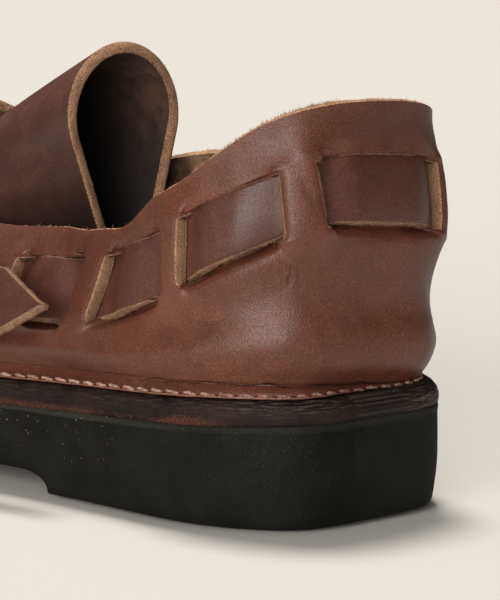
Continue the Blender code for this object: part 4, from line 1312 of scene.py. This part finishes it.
# hairs stand on the rows of a cut edge, away from it and a little up its face
def edgeHairs(edges, count, length):
    rows = edges["roots"].shape[1]
    ways = np.repeat(edges["away"][:, None] + 0.4 * edges["normal"][:, None], rows, axis=1)
    return edges["roots"].reshape(-1, 3), ways.reshape(-1, 3), count, length


rimArc = np.repeat(rimArc, len(rawRoots[0]) // len(rimArc))
shaggy = (rimArc > hair["shaggyFrom"]) * (rimArc < hair["shaggyTo"])
shaggy = shaggy | (draw.uniform(size=len(rimArc)) < hair["shaggyElsewhere"])
hairGroups = [(rawRoots[0][shaggy], rawWays[0][shaggy], *hair["collar"])]
hairGroups += [(roots, ways, *hair["slot"]) for roots, ways in zip(rawRoots[1:], rawWays[1:])]
hairGroups += [edgeHairs(strapEdges, *hair["strap"]), edgeHairs(instepEdges, *hair["instep"]),
               edgeHairs(tongueEdges, *hair["tongue"])]
buildHairs("raw_edge_hairs", hairGroups, hair)

tornClump = draw.normal(tornFibres["clumpAt"], tornFibres["clumpSpread"], tornFibres["clump"])
tornAhead = draw.uniform(*tornFibres["ahead"], tornFibres["clump"] // 2)
tornArc = np.concatenate([tornClump, tornAhead])
tornRing = ringOf(tornArc)
tornOut = raised(edgeOut(tornRing), 0 * tornArc - 0.5)
tornHeight = rubberTop(edgeAt(tornRing)[:, 1]) + sole["gap"]
tornHeight = tornHeight + draw.uniform(*tornFibres["rise"], len(tornArc))
tornRoots = raised(edgeAt(tornRing, tornFibres["inset"]), tornHeight)
tornGroup = (tornRoots, tornOut, len(tornArc), tornFibres["length"])
buildHairs("torn_sole_fibres", [tornGroup], tornFibres)

studio = dict(
    azimuth=-43.0, elevation=7.76, distance=645.2, target=(-2.52, 37.35, 43.65), lens=180.0,
    floor=(0.57, 0.543, 0.50, 1), floorRings=(0.0, 0.3, 0.8, 2.0, 5.0, 12.0), floorDrop=0.0002,
    tint=(1.0, 0.98, 0.95), fill=0.05,
    # direction towards the light, strength, apparent width in degrees
    lamps=dict(key=((-0.885, -0.44, 0.14), 5.8, 48.0), top=((-0.20, 0.30, 0.93), 0.5, 90.0),
               back=((0.10, 0.20, 0.97), 3.1, 13.0)),
)


# camera: on a sphere round its target, by azimuth and elevation
def buildCamera():
    a = math.radians(studio["azimuth"])
    e = math.radians(studio["elevation"])
    back = np.array([math.sin(a) * math.cos(e), -math.cos(a) * math.cos(e), math.sin(e)])
    camera = bpy.data.cameras.new("camera")
    camera.lens = studio["lens"]
    camera.sensor_width = 36.0
    camera.clip_start = 0.01
    holder = addObject("camera", camera)
    holder.location = put(np.array(studio["target"]) + back * studio["distance"])
    holder.rotation_euler = (math.pi / 2 - e, 0, a)
    bpy.context.scene.camera = holder


# floor: a flat disc of rings, just under the sole
def buildFloor():
    turn = np.linspace(0, 2 * np.pi, 65)[:-1, None]
    spread = np.array(studio["floorRings"])
    flat = np.full((len(turn), len(spread)), -studio["floorDrop"])
    grid = np.stack([np.cos(turn) * spread, np.sin(turn) * spread, flat], axis=-1)
    mesh = bpy.data.meshes.new("floor")
    mesh.from_pydata(grid.reshape(-1, 3).tolist(), [], gridQuads(closed(numbered(flat.shape))).tolist())
    cleanMesh(mesh, weld=True)
    mesh.materials.append(newFinish("pale floor", {"Specular IOR Level": 0.0, "Roughness": 0.9,
                                                   "Base Color": studio["floor"]})[0])
    floor = addObject("floor", mesh)


# lights: an even world and broad suns, each turned to look back along its direction
def buildLights():
    world = bpy.data.worlds.new("studio")
    world.use_nodes = True
    world.node_tree.nodes["Background"].inputs["Color"].default_value = (*studio["tint"], 1)
    world.node_tree.nodes["Background"].inputs["Strength"].default_value = studio["fill"]
    bpy.context.scene.world = world
    bpy.context.scene.view_settings.view_transform = "Standard"
    for name, (toward, strength, spread) in studio["lamps"].items():
        light = bpy.data.lights.new(name, "SUN")
        light.energy = strength
        light.angle = math.radians(spread)
        light.color = studio["tint"]
        holder = addObject(name, light)
        holder.location = np.array(toward)
        holder.rotation_euler = (math.atan2(math.hypot(toward[0], toward[1]), toward[2]), 0,
                                 math.atan2(-toward[1], -toward[0]) - math.pi / 2)


buildCamera()
buildFloor()
buildLights()
print("studio ready")
